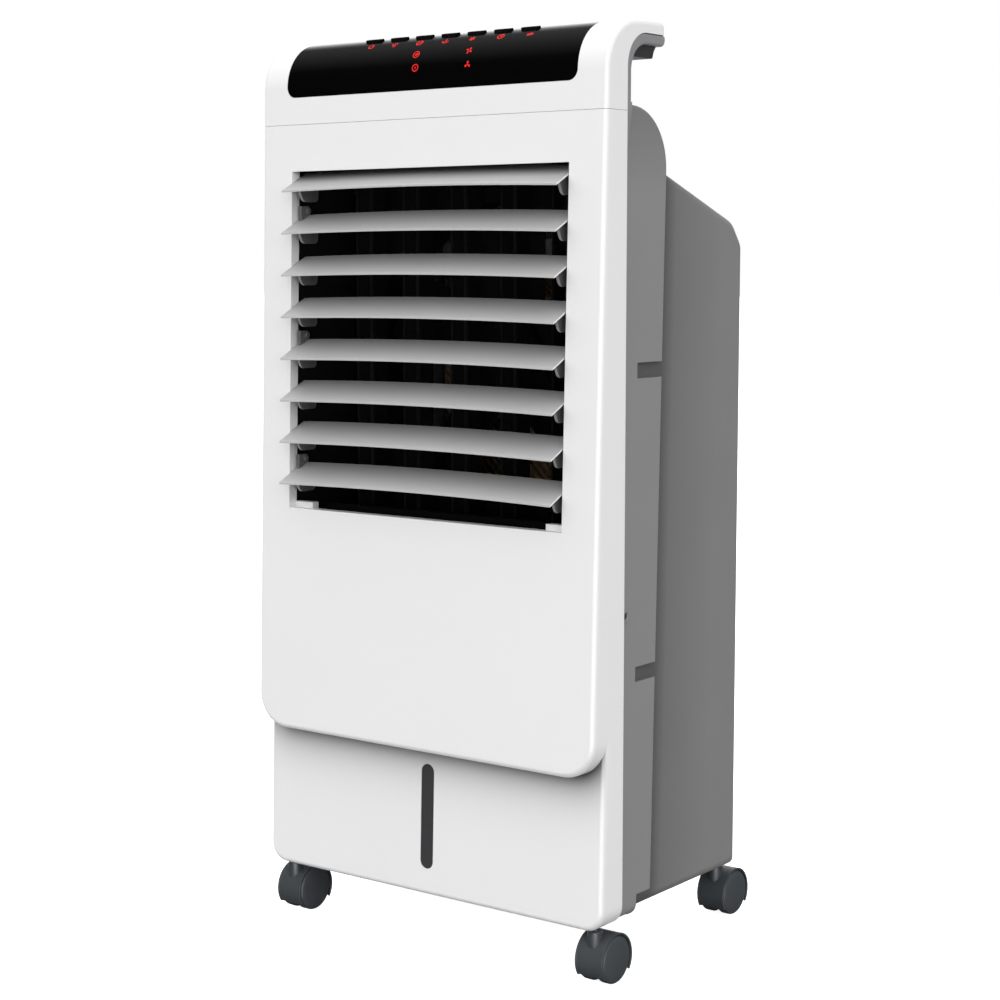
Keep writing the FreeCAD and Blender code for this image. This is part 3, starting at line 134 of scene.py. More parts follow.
def moulded(name, colour, rough=0.4, grain=900.0, bump=0.05, uneven=0.04,
            rough_spread=0.06, specular=0.5, metallic=0.0, stretch=(1, 1, 1)):
    """Moulded plastic: fine grain in the surface, a slow drift in colour and in gloss."""
    material = bpy.data.materials.new(name)
    material.use_nodes = True
    nodes, links = material.node_tree.nodes, material.node_tree.links
    shader = nodes["Principled BSDF"]
    shader.inputs["Specular IOR Level"].default_value = specular
    shader.inputs["Metallic"].default_value = metallic
    where = nodes.new("ShaderNodeTexCoord")
    mapping = nodes.new("ShaderNodeMapping")
    mapping.inputs["Scale"].default_value = stretch
    links.new(where.outputs["Object"], mapping.inputs["Vector"])
    place = mapping.outputs["Vector"]
    drift = noise_node(nodes, links, place, 9.0, 4.0)
    speck = noise_node(nodes, links, place, grain * 0.35, 2.0)
    blend = nodes.new("ShaderNodeMix")
    blend.data_type = "RGBA"
    blend.inputs["A"].default_value = shade(colour, 1 - uneven)
    blend.inputs["B"].default_value = shade(colour, 1 + uneven)
    both = nodes.new("ShaderNodeMath")
    both.operation = "MULTIPLY_ADD"
    both.inputs[1].default_value = DRIFT_SHARE
    links.new(drift, both.inputs[0])
    small = nodes.new("ShaderNodeMath")
    small.operation = "MULTIPLY"
    small.inputs[1].default_value = 0.35
    links.new(speck, small.inputs[0])
    links.new(small.outputs[0], both.inputs[2])
    links.new(value_map(nodes, links, both.outputs[0], 0.0, 1.0), blend.inputs["Factor"])
    links.new(blend.outputs["Result"], shader.inputs["Base Color"])
    cloudy = noise_node(nodes, links, place, 22.0, 5.0, 0.6)
    links.new(value_map(nodes, links, cloudy, rough - rough_spread, rough + rough_spread),
              shader.inputs["Roughness"])
    fine = noise_node(nodes, links, place, grain, 2.0)
    relief = nodes.new("ShaderNodeBump")
    relief.inputs["Strength"].default_value = bump
    relief.inputs["Distance"].default_value = GRAIN_DEPTH
    links.new(fine, relief.inputs["Height"])
    links.new(relief.outputs["Normal"], shader.inputs["Normal"])
    return material


def lit_mark(name, colour, strength):
    """Translucent red legend, lit from behind, a little uneven."""
    material = moulded(name, colour, rough=0.3, uneven=0.1)
    nodes, links = material.node_tree.nodes, material.node_tree.links
    shader = nodes["Principled BSDF"]
    where = nodes.new("ShaderNodeTexCoord")
    patches = noise_node(nodes, links, where.outputs["Object"], 420.0, 2.0)
    links.new(value_map(nodes, links, patches, strength * 0.75, strength * 1.1),
              shader.inputs["Emission Strength"])
    shader.inputs["Emission Color"].default_value = (*colour, 1.0)
    return material


def paint_in_shading(material, level):
    """Multiplies a material's colour by a value that its own nodes work out; every use in this script
    paints light or shade into the colour.
    """
    nodes, links = material.node_tree.nodes, material.node_tree.links
    shader = nodes["Principled BSDF"]
    tint = nodes.new("ShaderNodeMix")
    tint.data_type = "RGBA"
    tint.blend_type = "MULTIPLY"
    tint.inputs["Factor"].default_value = 1.0
    tint.clamp_result = False
    links.new(shader.inputs["Base Color"].links[0].from_socket, tint.inputs["A"])
    links.new(level, tint.inputs["B"])
    links.new(tint.outputs["Result"], shader.inputs["Base Color"])


def side_nodes(material):
    """How far sideways a point is, in metres, and how squarely its face looks sideways."""
    nodes, links = material.node_tree.nodes, material.node_tree.links
    where = nodes.new("ShaderNodeNewGeometry")
    sizes = []
    for output in ("Position", "True Normal"):
        split = nodes.new("ShaderNodeSeparateXYZ")
        links.new(where.outputs[output], split.inputs[0])
        size = nodes.new("ShaderNodeMath")
        size.operation = "ABSOLUTE"
        links.new(split.outputs["X"], size.inputs[0])
        sizes.append(size.outputs[0])
    return sizes


def louvre_painted_shade_and_light(material, ear_painted_shade, end_painted_light):
    """Painted shade on faces that look sideways, the ears under the blades among them, and painted light on
    the blades' cut ends.
    """
    nodes, links = material.node_tree.nodes, material.node_tree.links
    shader = nodes["Principled BSDF"]
    aside, squarely = side_nodes(material)
    paint_in_shading(material, value_map(nodes, links, squarely, 1.0, ear_painted_shade, *SQUARE_ON))
    painted_end_light_mask = nodes.new("ShaderNodeMath")
    painted_end_light_mask.operation = "MULTIPLY"
    links.new(value_map(nodes, links, aside, 0.0, 1.0, *BLADE_END), painted_end_light_mask.inputs[0])
    links.new(value_map(nodes, links, squarely, 0.0, 1.0, *SQUARE_ON), painted_end_light_mask.inputs[1])
    blend = nodes.new("ShaderNodeMix")
    blend.data_type = "RGBA"
    links.new(painted_end_light_mask.outputs[0], blend.inputs["Factor"])
    links.new(shader.inputs["Base Color"].links[0].from_socket, blend.inputs["A"])
    blend.inputs["B"].default_value = (end_painted_light, end_painted_light, end_painted_light, 1.0)
    links.new(blend.outputs["Result"], shader.inputs["Base Color"])


def painted_notch_shade(material, level, edge_painted_shade):
    """Painted shade on the floors of the grip notches in the mid band, and along its rounded edges."""
    nodes, links = material.node_tree.nodes, material.node_tree.links
    aside, _ = side_nodes(material)
    paint_in_shading(material, value_map(nodes, links, aside, edge_painted_shade, 1.0, *BAND_EDGE))
    where = nodes.new("ShaderNodeNewGeometry")
    split = nodes.new("ShaderNodeSeparateXYZ")
    links.new(where.outputs["Position"], split.inputs[0])
    for height in NOTCHES:
        off = nodes.new("ShaderNodeMath")
        off.operation = "COMPARE"
        off.inputs[1].default_value = height / 1000
        off.inputs[2].default_value = NOTCH_HALF
        links.new(split.outputs["Z"], off.inputs[0])
        inside = nodes.new("ShaderNodeMath")
        inside.operation = "MULTIPLY"
        links.new(off.outputs[0], inside.inputs[0])
        links.new(value_map(nodes, links, aside, 1.0, 0.0, *NOTCH_FLOOR), inside.inputs[1])
        paint_in_shading(material, value_map(nodes, links, inside.outputs[0], 1.0, level, 0.0, 1.0))


def painted_shade_by_height(material, low, high, level):
    """Paints shade by scaling the colour down between two heights in millimetres."""
    nodes, links = material.node_tree.nodes, material.node_tree.links
    where = nodes.new("ShaderNodeNewGeometry")
    split = nodes.new("ShaderNodeSeparateXYZ")
    links.new(where.outputs["Position"], split.inputs[0])
    paint_in_shading(material, value_map(nodes, links, split.outputs["Z"], 1.0, level, low / 1000, high / 1000))


def painted_shading_by_depth(material, start, stop, at_start, at_stop):
    """Paints light and shade by scaling the colour between two depths behind the leaning face, in
    millimetres.
    """
    nodes, links = material.node_tree.nodes, material.node_tree.links
    where = nodes.new("ShaderNodeNewGeometry")
    split = nodes.new("ShaderNodeSeparateXYZ")
    links.new(where.outputs["Position"], split.inputs[0])
    leaning = nodes.new("ShaderNodeMath")
    leaning.operation = "MULTIPLY_ADD"
    leaning.inputs[1].default_value = -LEAN
    links.new(split.outputs["Z"], leaning.inputs[0])
    links.new(split.outputs["Y"], leaning.inputs[2])
    low, high = ((SHIFT + depth - LEAN * OPEN_TOP) / 1000 for depth in (start, stop))
    paint_in_shading(material, value_map(nodes, links, leaning.outputs[0], at_start, at_stop, low, high))


# painted shadow under the raised panel, on the recessed lower front
PAINTED_SHADOW_STRENGTH = 0.95
PAINTED_SHADOW_REACH = 14.0                     # millimetres from the panel's edge over which the painted shadow fades


def painted_recess_shadow(material):
    """Painted shadow round the raised panel's lower edge, strongest right beside it."""
    nodes, links = material.node_tree.nodes, material.node_tree.links
    where = nodes.new("ShaderNodeNewGeometry")
    split = nodes.new("ShaderNodeSeparateXYZ")
    links.new(where.outputs["Position"], split.inputs[0])

    def sum_of(operation, first, second=None, third=None):
        made = nodes.new("ShaderNodeMath")
        made.operation = operation
        for socket, value in zip(made.inputs, (first, second, third)):
            if isinstance(value, (int, float)):
                socket.default_value = value
            elif value is not None:
                links.new(value, socket)
        return made.outputs[0]

    aside = sum_of("SUBTRACT", sum_of("ABSOLUTE", split.outputs["X"]), (HALF - PANEL_RADIUS) / 1000)
    below = sum_of("SUBTRACT", (PANEL_BOTTOM + PANEL_RADIUS) / 1000, split.outputs["Z"])
    away = nodes.new("ShaderNodeCombineXYZ")
    links.new(sum_of("MAXIMUM", aside, 0.0), away.inputs["X"])
    links.new(sum_of("MAXIMUM", below, 0.0), away.inputs["Y"])
    length = nodes.new("ShaderNodeVectorMath")
    length.operation = "LENGTH"
    links.new(away.outputs[0], length.inputs[0])
    distance = sum_of("SUBTRACT", length.outputs["Value"], PANEL_RADIUS / 1000)
    fall = sum_of("EXPONENT", sum_of("MULTIPLY", distance, -1000 / PAINTED_SHADOW_REACH))
    under = sum_of("GREATER_THAN", distance, 0.0)
    depth = sum_of("MULTIPLY_ADD", split.outputs["Z"], -LEAN, split.outputs["Y"])
    inside = sum_of("GREATER_THAN", depth, (SHIFT + LOWER_SET_BACK / 2 - LEAN * OPEN_TOP) / 1000)
    turned = nodes.new("ShaderNodeSeparateXYZ")
    links.new(where.outputs["True Normal"], turned.inputs[0])
    facing = value_map(nodes, links, turned.outputs["Y"], 1.0, 0.0, -0.95, -0.4)
    painted_shadow_amount = sum_of("MULTIPLY", sum_of("MULTIPLY", fall, under), sum_of("MULTIPLY", inside, facing))
    paint_in_shading(material, sum_of("MULTIPLY_ADD", painted_shadow_amount, -PAINTED_SHADOW_STRENGTH, 1.0))


def honeycomb_paper(name, colour):
    """Corrugated cellulose: slanting flutes and a fibrous colour."""
    material = moulded(name, colour, rough=0.85, grain=1400.0, bump=0.3, uneven=0.25, specular=0.2)
    nodes, links = material.node_tree.nodes, material.node_tree.links
    shader = nodes["Principled BSDF"]
    where = nodes.new("ShaderNodeTexCoord")
    turn = nodes.new("ShaderNodeMapping")
    turn.inputs["Rotation"].default_value = (0, math.radians(45), 0)
    links.new(where.outputs["Object"], turn.inputs["Vector"])
    wave = nodes.new("ShaderNodeTexWave")
    wave.inputs["Scale"].default_value = 48.0
    wave.inputs["Distortion"].default_value = 0.6
    links.new(turn.outputs["Vector"], wave.inputs["Vector"])
    relief = nodes.new("ShaderNodeBump")
    relief.inputs["Strength"].default_value = 0.9
    relief.inputs["Distance"].default_value = 0.003
    links.new(wave.outputs["Fac"], relief.inputs["Height"])
    links.new(relief.outputs["Normal"], shader.inputs["Normal"])
    return material


WHITE = moulded("shell_white", (0.81, 0.81, 0.815), rough=0.34, grain=1500.0, bump=0.03, uneven=0.006,
                rough_spread=0.03)
LOUVRE = moulded("louvre_silver", (0.50, 0.50, 0.50), rough=0.42, grain=1300.0, bump=0.04, uneven=0.01)
LINER = moulded("liner_grey", (0.25, 0.25, 0.26), rough=0.45, grain=1500.0, bump=0.12, uneven=0.02)
GRIP = moulded("grip_grey", (0.030, 0.030, 0.032), rough=0.62, grain=1000.0, bump=0.35, uneven=0.06)
PANEL = moulded("panel_black", (0.0012, 0.0012, 0.0014), rough=0.18, grain=500.0, bump=0.01, uneven=0.1,
                rough_spread=0.02, specular=0.22)
KEY = moulded("key_black", (0.0018, 0.0018, 0.0018), rough=0.5, grain=1600.0, bump=0.15, uneven=0.1,
              specular=0.14)
BAND = moulded("band_grey", (0.245, 0.245, 0.25), rough=0.5, grain=1700.0, bump=0.16, uneven=0.015)
BACK = moulded("back_grey", (0.198, 0.198, 0.201), rough=0.52, grain=1700.0, bump=0.18, uneven=0.02)
TRAY = moulded("tray_grey", (0.14, 0.14, 0.145), rough=0.55, grain=1100.0, bump=0.15, uneven=0.03)
SMOKE = moulded("window_smoke", (0.045, 0.045, 0.047), rough=0.22, grain=900.0, bump=0.02, uneven=0.05)
DARK = moulded("duct_black", (0.0028, 0.0028, 0.003), rough=0.75, grain=900.0, bump=0.1, uneven=0.1,
               specular=0.08)
MOTOR = moulded("motor_metal", (0.08, 0.08, 0.085), rough=0.4, grain=600.0, bump=0.08, uneven=0.05)
STEEL = moulded("bracket_steel", (0.52, 0.52, 0.54), rough=0.32, grain=700.0, bump=0.05, uneven=0.05,
                metallic=1.0, stretch=(1, 1, 12))
CIRCUIT = moulded("circuit_green", (0.03, 0.16, 0.07), rough=0.35, grain=700.0, bump=0.05, uneven=0.1)
GRILLE = moulded("grille_grey", (0.18, 0.18, 0.185), rough=0.5, grain=1500.0, bump=0.16, uneven=0.02)
NET = moulded("filter_net", (0.03, 0.03, 0.033), rough=0.6, grain=1200.0, bump=0.1, uneven=0.1)
PAPER = honeycomb_paper("pad_paper", (0.26, 0.17, 0.085))
TROUGH = moulded("trough_white", (0.6, 0.6, 0.58), rough=0.45, uneven=0.03)
HOSE = moulded("hose_clear", (0.42, 0.43, 0.42), rough=0.2, uneven=0.05)
PUMP = moulded("pump_black", (0.015, 0.015, 0.017), rough=0.45, uneven=0.08)
TANK = moulded("tank_grey", (0.20, 0.20, 0.205), rough=0.5, grain=1500.0, bump=0.15, uneven=0.02)
LOCK = moulded("lock_grey", (0.10, 0.10, 0.105), rough=0.42, uneven=0.03)
RUBBER = moulded("plug_rubber", (0.03, 0.03, 0.03), rough=0.7, grain=800.0, bump=0.2, uneven=0.08)
CHROME = moulded("stud_chrome", (0.62, 0.62, 0.64), rough=0.12, grain=900.0, bump=0.02, uneven=0.03,
                 rough_spread=0.04, metallic=1.0)
HOOD = moulded("caster_hood", (0.050, 0.057, 0.062), rough=0.42, grain=1100.0, bump=0.14, uneven=0.05)
WHEEL = moulded("caster_wheel", (0.058, 0.064, 0.070), rough=0.45, grain=1100.0, bump=0.12, uneven=0.06)
TREAD = moulded("caster_tread", (0.022, 0.024, 0.026), rough=0.6, grain=700.0, bump=0.25, uneven=0.12)
# painted highlight along the blades' front edges
painted_shading_by_depth(LOUVRE, LOUVRE_FRONT, LOUVRE_FRONT + 3.0, 1.1, 1.0)
# painted shade deepening towards the back of the opening
painted_shading_by_depth(LOUVRE, -12.0, 16.0, 0.87, 0.50)
# painted shadow of the opening's top edge across the top blade
painted_shade_by_height(LOUVRE, 649.0, 658.0, 0.30)
# painted shade on the mid band towards its shoulder
painted_shade_by_height(BAND, 640.0, 700.0, 0.80)
# painted shade on the blades' sideways faces and ears, painted light on their cut ends
louvre_painted_shade_and_light(LOUVRE, 0.42, 0.72)
# painted shade in the grip notches and along the mid band's rounded back edges
painted_notch_shade(BAND, 0.60, 0.72)
# painted shade on the back shell beside the step behind the mid band, painted light further back
painted_shading_by_depth(BACK, 110.0, 128.0, 0.62, 1.0)
painted_shading_by_depth(BACK, 110.0, 200.0, 0.82, 1.08)
# painted shadow below the raised panel
painted_recess_shadow(WHITE)
MARK = lit_mark("legend_red", (0.60, 0.006, 0.006), 0.42)


# ------------------------------------------------------------------ mesh making
def merged(parts):
    verts, faces = [], []
    for some, polygons in parts:
        start = len(verts)
        verts.extend(some)
        faces.extend(tuple(start + i for i in polygon) for polygon in polygons)
    return verts, faces


def piece(name, parts, material, body, stands_for=(), bevel=0.0, sharp=30.0):
    """One object from lists of (points in millimetres, faces); it rides on a CAD body."""
    verts, faces = merged(parts)
    mesh = bpy.data.meshes.new(name)
    mesh.from_pydata([mm(*v) for v in verts], [], faces)
    made = bmesh.new()
    made.from_mesh(mesh)
    bmesh.ops.remove_doubles(made, verts=made.verts, dist=1e-7)
    bmesh.ops.recalc_face_normals(made, faces=made.faces)
    made.to_mesh(mesh)
    made.free()
    mesh.materials.append(material)
    mesh.polygons.foreach_set("use_smooth", [True] * len(mesh.polygons))
    mesh.set_sharp_from_angle(angle=math.radians(sharp))
    made = bpy.data.objects.new(name, mesh)
    bpy.context.scene.collection.objects.link(made)
    if bevel:
        round_edges(made, bevel, 3, sharp)
    if stands_for:
        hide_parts(*stands_for)
    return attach(made, body)


def round_edges(made, width, steps=2, sharp=30.0):
    """Small moulding radius on every sharp edge; width in millimetres."""
    edge = made.modifiers.new("edges", "BEVEL")
    edge.width = width / 1000
    edge.segments = steps
    edge.limit_method = "ANGLE"
    edge.angle_limit = math.radians(sharp)
    edge.harden_normals = True
    edge.use_clamp_overlap = True


def prism(outline, place, low, high):
    """Closed outline of (u, v) swept from low to high; place maps u, v, w to a point."""
    count = len(outline)
    verts = [place(u, v, low) for u, v in outline] + [place(u, v, high) for u, v in outline]
    faces = [tuple(range(count))[::-1], tuple(range(count, 2 * count))]
    faces += [(i, (i + 1) % count, (i + 1) % count + count, i + count) for i in range(count)]
    return verts, faces


def along_x(u, v, w):
    return (w, u, v)


def along_y(u, v, w):
    return (u, w, v)


def along_z(u, v, w):
    return (u, v, w)


def block(x0, x1, y0, y1, z0, z1):
    return prism([(x0, y0), (x1, y0), (x1, y1), (x0, y1)], along_z, z0, z1)


ROUND_STEPS = 6                         # points along one rounded corner


def rounded(half_u, half_v, radius, centre=(0, 0)):
    """Rounded rectangle as (u, v) points."""
    points = []
    for quarter, (su, sv) in enumerate(((1, 1), (-1, 1), (-1, -1), (1, -1))):
        for step in range(ROUND_STEPS + 1):
            angle = math.radians(90 * (quarter + step / ROUND_STEPS))
            points.append((centre[0] + su * (half_u - radius) + radius * math.cos(angle),
                           centre[1] + sv * (half_v - radius) + radius * math.sin(angle)))
    return points


def lathe(profile, place, count=64):
    """Profile of (radius, along) turned full circle; a radius of 0 closes the end."""
    verts, faces, rings = [], [], []
    for radius, along in profile:
        if radius == 0:
            rings.append([len(verts)])
            verts.append(place(0, 0, along))
            continue
        rings.append(list(range(len(verts), len(verts) + count)))
        for i in range(count):
            angle = 2 * math.pi * i / count
            verts.append(place(radius * math.cos(angle), radius * math.sin(angle), along))
    for first, second in zip(rings, rings[1:]):
        for i in range(count):
            j = (i + 1) % count
            if len(first) == 1:
                faces.append((first[0], second[j], second[i]))
            elif len(second) == 1:
                faces.append((first[i], first[j], second[0]))
            else:
                faces.append((first[i], first[j], second[j], second[i]))
    return verts, faces


def at(x, y, z, turn):
    """Place function for lathe and prism: turn is the axis letter, centred on x, y, z."""
    def place(u, v, w):
        if turn == "x":
            return (x + w, y + u, z + v)
        if turn == "y":
            return (x + u, y + w, z + v)
        return (x + u, y + v, z + w)
    return place


def strip(path, width, lift, place, closed=False):
    """Flat ribbon of even width along a 2D path, with a little thickness."""
    count = len(path)
    sides = []
    for i, (u, v) in enumerate(path):
        before = path[i - 1] if (i or closed) else path[0]
        after = path[(i + 1) % count] if (i < count - 1 or closed) else path[-1]
        du, dv = after[0] - before[0], after[1] - before[1]
        size = math.hypot(du, dv) or 1.0
        nu, nv = -dv / size * width / 2, du / size * width / 2
        sides.append(((u + nu, v + nv), (u - nu, v - nv)))
    verts = []
    for (a, b) in sides:
        verts += [place(*a, 0.0), place(*b, 0.0), place(*b, lift), place(*a, lift)]
    faces = []
    last = count if closed else count - 1
    for i in range(last):
        a, b = 4 * i, 4 * ((i + 1) % count)
        for k in range(4):
            faces.append((a + k, a + (k + 1) % 4, b + (k + 1) % 4, b + k))
    if not closed:
        faces += [(3, 2, 1, 0), tuple(4 * (count - 1) + k for k in range(4))]
    return verts, faces


def arc(radius, start, stop, count=24, centre=(0, 0)):
    """Points on an arc, angles in degrees."""
    return [(centre[0] + radius * math.cos(math.radians(start + (stop - start) * i / count)),
             centre[1] + radius * math.sin(math.radians(start + (stop - start) * i / count)))
            for i in range(count + 1)]


# ------------------------------------------------------------------ carried-over CAD nodes
def dress(node, material, bevel=0.0):
    """Gives a CAD node its material, and a moulding radius on its sharp edges."""
    made = NODES[node]
    made.data.materials.clear()
    made.data.materials.append(material)
    if bevel:
        weld = made.modifiers.new("weld", "WELD")
        weld.merge_threshold = 0.00001
        round_edges(made, bevel)


def dress_all():
    plain = {"front_cover": WHITE, "top_cover": WHITE, "handle_liner": LINER, "handle_grip": GRIP,
             "control_panel": PANEL, "control_board": CIRCUIT, "mid_frame": BAND, "rear_housing": BACK,
             "base_tray": TRAY, "water_window": SMOKE, "louvre_frame": DARK, "louvre_link": DARK,
             "vane_link": DARK, "swing_motor": MOTOR, "fan_shroud": DARK, "fan_impeller": DARK,
             "fan_motor": MOTOR, "motor_bracket": STEEL, "rear_grille": GRILLE, "dust_filter": NET,
             "cooling_pad": PAPER, "water_distributor": TROUGH, "riser_hose": HOSE, "pump": PUMP,
             "water_tank": TANK, "tank_lock": LOCK, "drain_plug": RUBBER, "power_inlet": RUBBER,
             "side_studs": CHROME, "rear_panel": BACK}
    for node, material in plain.items():
        dress(node, material)
    dress("tank_handle", LOCK, 0.4)
    for name in BUTTONS:
        dress("button_" + name, KEY)
    for index in range(LOUVRES):
        dress("louvre_%d" % (index + 1), LOUVRE)
    for index in range(VANES):
        dress("vane_%d" % (index + 1), DARK)
    for name in CASTERS:
        dress("caster_hood_" + name, HOOD)
        dress("caster_wheels_" + name, WHEEL)


# ------------------------------------------------------------------ control panel
NOSE_ROUND = 40.0
NOSE_CORNER = (face_depth(768.0), 768.0)
NOSE_BACK = (83.0, 771.2)


def nose():
    """Centre of the nose's arc and the angle where it leaves the leaning face."""
    here = Vector(NOSE_CORNER)
    down = (Vector((face_depth(600.0), 600.0)) - here).normalized()
    ahead = (Vector(NOSE_BACK) - here).normalized()
    half_angle = down.angle(ahead) / 2
    centre = here + (down + ahead).normalized() * (NOSE_ROUND / math.sin(half_angle))
    start = here + down * (NOSE_ROUND / math.tan(half_angle)) - centre
    return centre, math.atan2(start.y, start.x)


NOSE_CENTRE, NOSE_START = nose()


def on_nose(centre_x, height, lift):
    """Place function that lays a flat drawing on the nose, its middle at the given height."""
    middle = math.pi - math.asin((height - NOSE_CENTRE.y) / NOSE_ROUND)
    start = NOSE_START if NOSE_START > 0 else NOSE_START + 2 * math.pi

    def place(u, v, w):
        angle = middle - v / NOSE_ROUND
        if angle > start:
            edge = NOSE_CENTRE + NOSE_ROUND * Vector((math.cos(start), math.sin(start)))
            out = Vector((math.cos(start), math.sin(start)))
            down = (angle - start) * NOSE_ROUND
            point = edge + Vector((-out.y, out.x)) * down + out * (lift + w)
        else:
            out = Vector((math.cos(angle), math.sin(angle)))
            point = NOSE_CENTRE + out * (NOSE_ROUND + lift + w)
        return (centre_x + u, point.x, point.y)
    return place


def legend_power(draw):
    return [draw(arc(2.4, 120, 420)), draw([(0, 1.0), (0, 3.4)])]


def legend_speed(draw):
    blades = []
    for turn in range(3):
        blades.append(draw(arc(1.3, 120 * turn, 120 * turn + 200, 10,
                               (1.4 * math.cos(math.radians(120 * turn + 30)),
                                1.4 * math.sin(math.radians(120 * turn + 30))))))
    return blades


def legend_mode(draw):
    return [draw(arc(2.9, 0, 360)), draw([(-1.6, -0.6), (-0.6, 0.6), (0.6, -0.6), (1.6, 0.6)])]


def legend_swing(draw):
    return [draw(arc(3.0, 205, 335)), draw([(-2.8, -0.2), (-2.7, -1.6), (-1.4, -1.5)]),
            draw([(2.8, -0.2), (2.7, -1.6), (1.4, -1.5)]), draw([(0, 2.6), (0, -1.6)])]


def legend_cool(draw):
    return [draw([(-2.9 * math.cos(math.radians(a)), -2.9 * math.sin(math.radians(a))),
                  (2.9 * math.cos(math.radians(a)), 2.9 * math.sin(math.radians(a)))])
            for a in (90, 30, -30)]


def legend_timer(draw):
    return [draw(arc(2.9, 0, 360)), draw([(0, 1.9), (0, 0), (1.4, -0.6)])]


def legend_ion(draw):
    return [draw(arc(3.0, 20, 160, 12, (0, -1.6))), draw(arc(3.0, 200, 340, 12, (0, 1.6))),
            draw([(-2.6, -2.0), (2.2, 0.6)])]


def legend_swirl(draw):
    return [draw(arc(3.0, 0, 360)), draw(arc(1.2, 180, 360, 10, (0, 0.3))),
            draw(arc(1.3, 0, 150, 10, (0.6, -0.4)))]


def legend_ring(draw):
    return [draw(arc(2.9, 0, 360)), draw([(0, 1.2), (0, -1.2)])]


def legend_fan(draw):
    made = []
    for turn in range(4):
        c, s = math.cos(math.radians(90 * turn + 45)), math.sin(math.radians(90 * turn + 45))
        made.append(draw([(0.6 * c, 0.6 * s), (3.0 * c - 0.7 * s, 3.0 * s + 0.7 * c)]))
        made.append(draw([(0.8 * c, 0.8 * s), (2.6 * c - 1.5 * s, 2.6 * s + 1.5 * c)]))
    return made


def legend_trefoil(draw):
    made = []
    for turn in range(3):
        angle = math.radians(120 * turn + 90)
        made.append(draw(arc(0.55, 0, 360, 12, (2.1 * math.cos(angle), 2.1 * math.sin(angle)))))
        made.append(draw([(0, 0), (1.6 * math.cos(angle), 1.6 * math.sin(angle))]))
    return made


KEY_MARKS = ((legend_power, -70.7), (legend_speed, -45.2), (legend_mode, -18.3), (legend_swing, 9.2),
             (legend_cool, 36.5), (legend_timer, 65.4), (legend_ion, 94.6))
KEY_MARK_HEIGHT = 761.7
LAMPS = (("lamp_swirl", legend_swirl, -14.1, 751.4, 0.9), ("lamp_ring", legend_ring, -11.4, 740.2, 0.9),
         ("lamp_fan", legend_fan, 40.8, 751.4, 1.0), ("lamp_trefoil", legend_trefoil, 43.0, 739.8, 1.0))
MARK_LIFT, MARK_THICK = 0.02, 0.12


def make_legends():
    """Red marks under each key and the four lamps below them."""
    rows = [("key_mark_%d" % (i + 1), drawing, x, KEY_MARK_HEIGHT, 1.0)
            for i, (drawing, x) in enumerate(KEY_MARKS)]
    for name, drawing, x, height, stroke in (*rows, *LAMPS):
        place = on_nose(x, height, MARK_LIFT)

        def draw(path, place=place, stroke=stroke):
            closed = math.dist(path[0], path[-1]) < 1e-6
            return strip(path[:-1] if closed else path, stroke, MARK_THICK, place, closed)
        piece(name, drawing(draw), MARK, "housing")


# ------------------------------------------------------------------ casters
WHEEL_R = 20.0
CASTER_HALF = 14.5
HOOD_R = 22.0
TRAIL = 12.5
STEM_R = 6.2
STEM_TOP = 45.4
HOOD_LOW = -33.0                        # where the hood's wall ends, degrees below level
SECTOR_STEPS = 48
WHEEL_INNER = 3.7                       # a wheel's inner face, from the middle of its axle


def ring_sector(inner, outer, start, stop, x0, x1, centre):
    """Part of a tube about an axis along X; angles in degrees from the back, over the top."""
    points = arc(outer, start, stop, SECTOR_STEPS, centre) + arc(inner, stop, start, SECTOR_STEPS, centre)
    return prism(points, along_x, x0, x1)


def make_hood(name):
    low, high = node_box("caster_wheels_" + name)
    x, wheel_y = (low.x + high.x) / 2, (low.y + high.y) / 2
    centre = (wheel_y, WHEEL_R)
    stop = 180 - HOOD_LOW
    wall = ring_sector(HOOD_R - 1.4, HOOD_R - 0.1, HOOD_LOW, stop, x - 12.6, x + 12.6, centre)
    web = ring_sector(5.0, HOOD_R - 1.2, HOOD_LOW, stop, x - 1.2, x + 1.2, centre)
    parts = [wall, web]
    for side in (-1, 1):
        x0, x1 = sorted((x + side * 11.9, x + side * 13.4))
        parts.append(ring_sector(HOOD_R - 1.7, HOOD_R + 0.1, HOOD_LOW - 1.5, stop + 1.5, x0, x1, centre))
    parts.append(lathe([(0, -6.0), (5.6, -6.0), (6.0, -5.6), (6.0, 5.6), (5.6, 6.0), (0, 6.0)],
                       at(x, wheel_y, WHEEL_R, "x"), 32))
    stem_y = wheel_y - TRAIL
    foot = WHEEL_R + math.sqrt(HOOD_R ** 2 - (TRAIL + STEM_R - 0.8) ** 2)
    stem = [(0, foot - 5.0), (STEM_R * 0.55, foot - 4.6), (STEM_R * 0.85, foot - 2.8), (STEM_R, foot),
            (STEM_R, STEM_TOP - 0.8), (STEM_R - 0.8, STEM_TOP), (2.6, STEM_TOP),
            (2.6, STEM_TOP + 9), (0, STEM_TOP + 9)]
    parts.append(lathe(stem, at(x, stem_y, 0, "z"), 40))
    hood = "caster_hood_" + name
    piece("hood_" + name, parts, HOOD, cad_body(hood), (hood,), bevel=0.45)


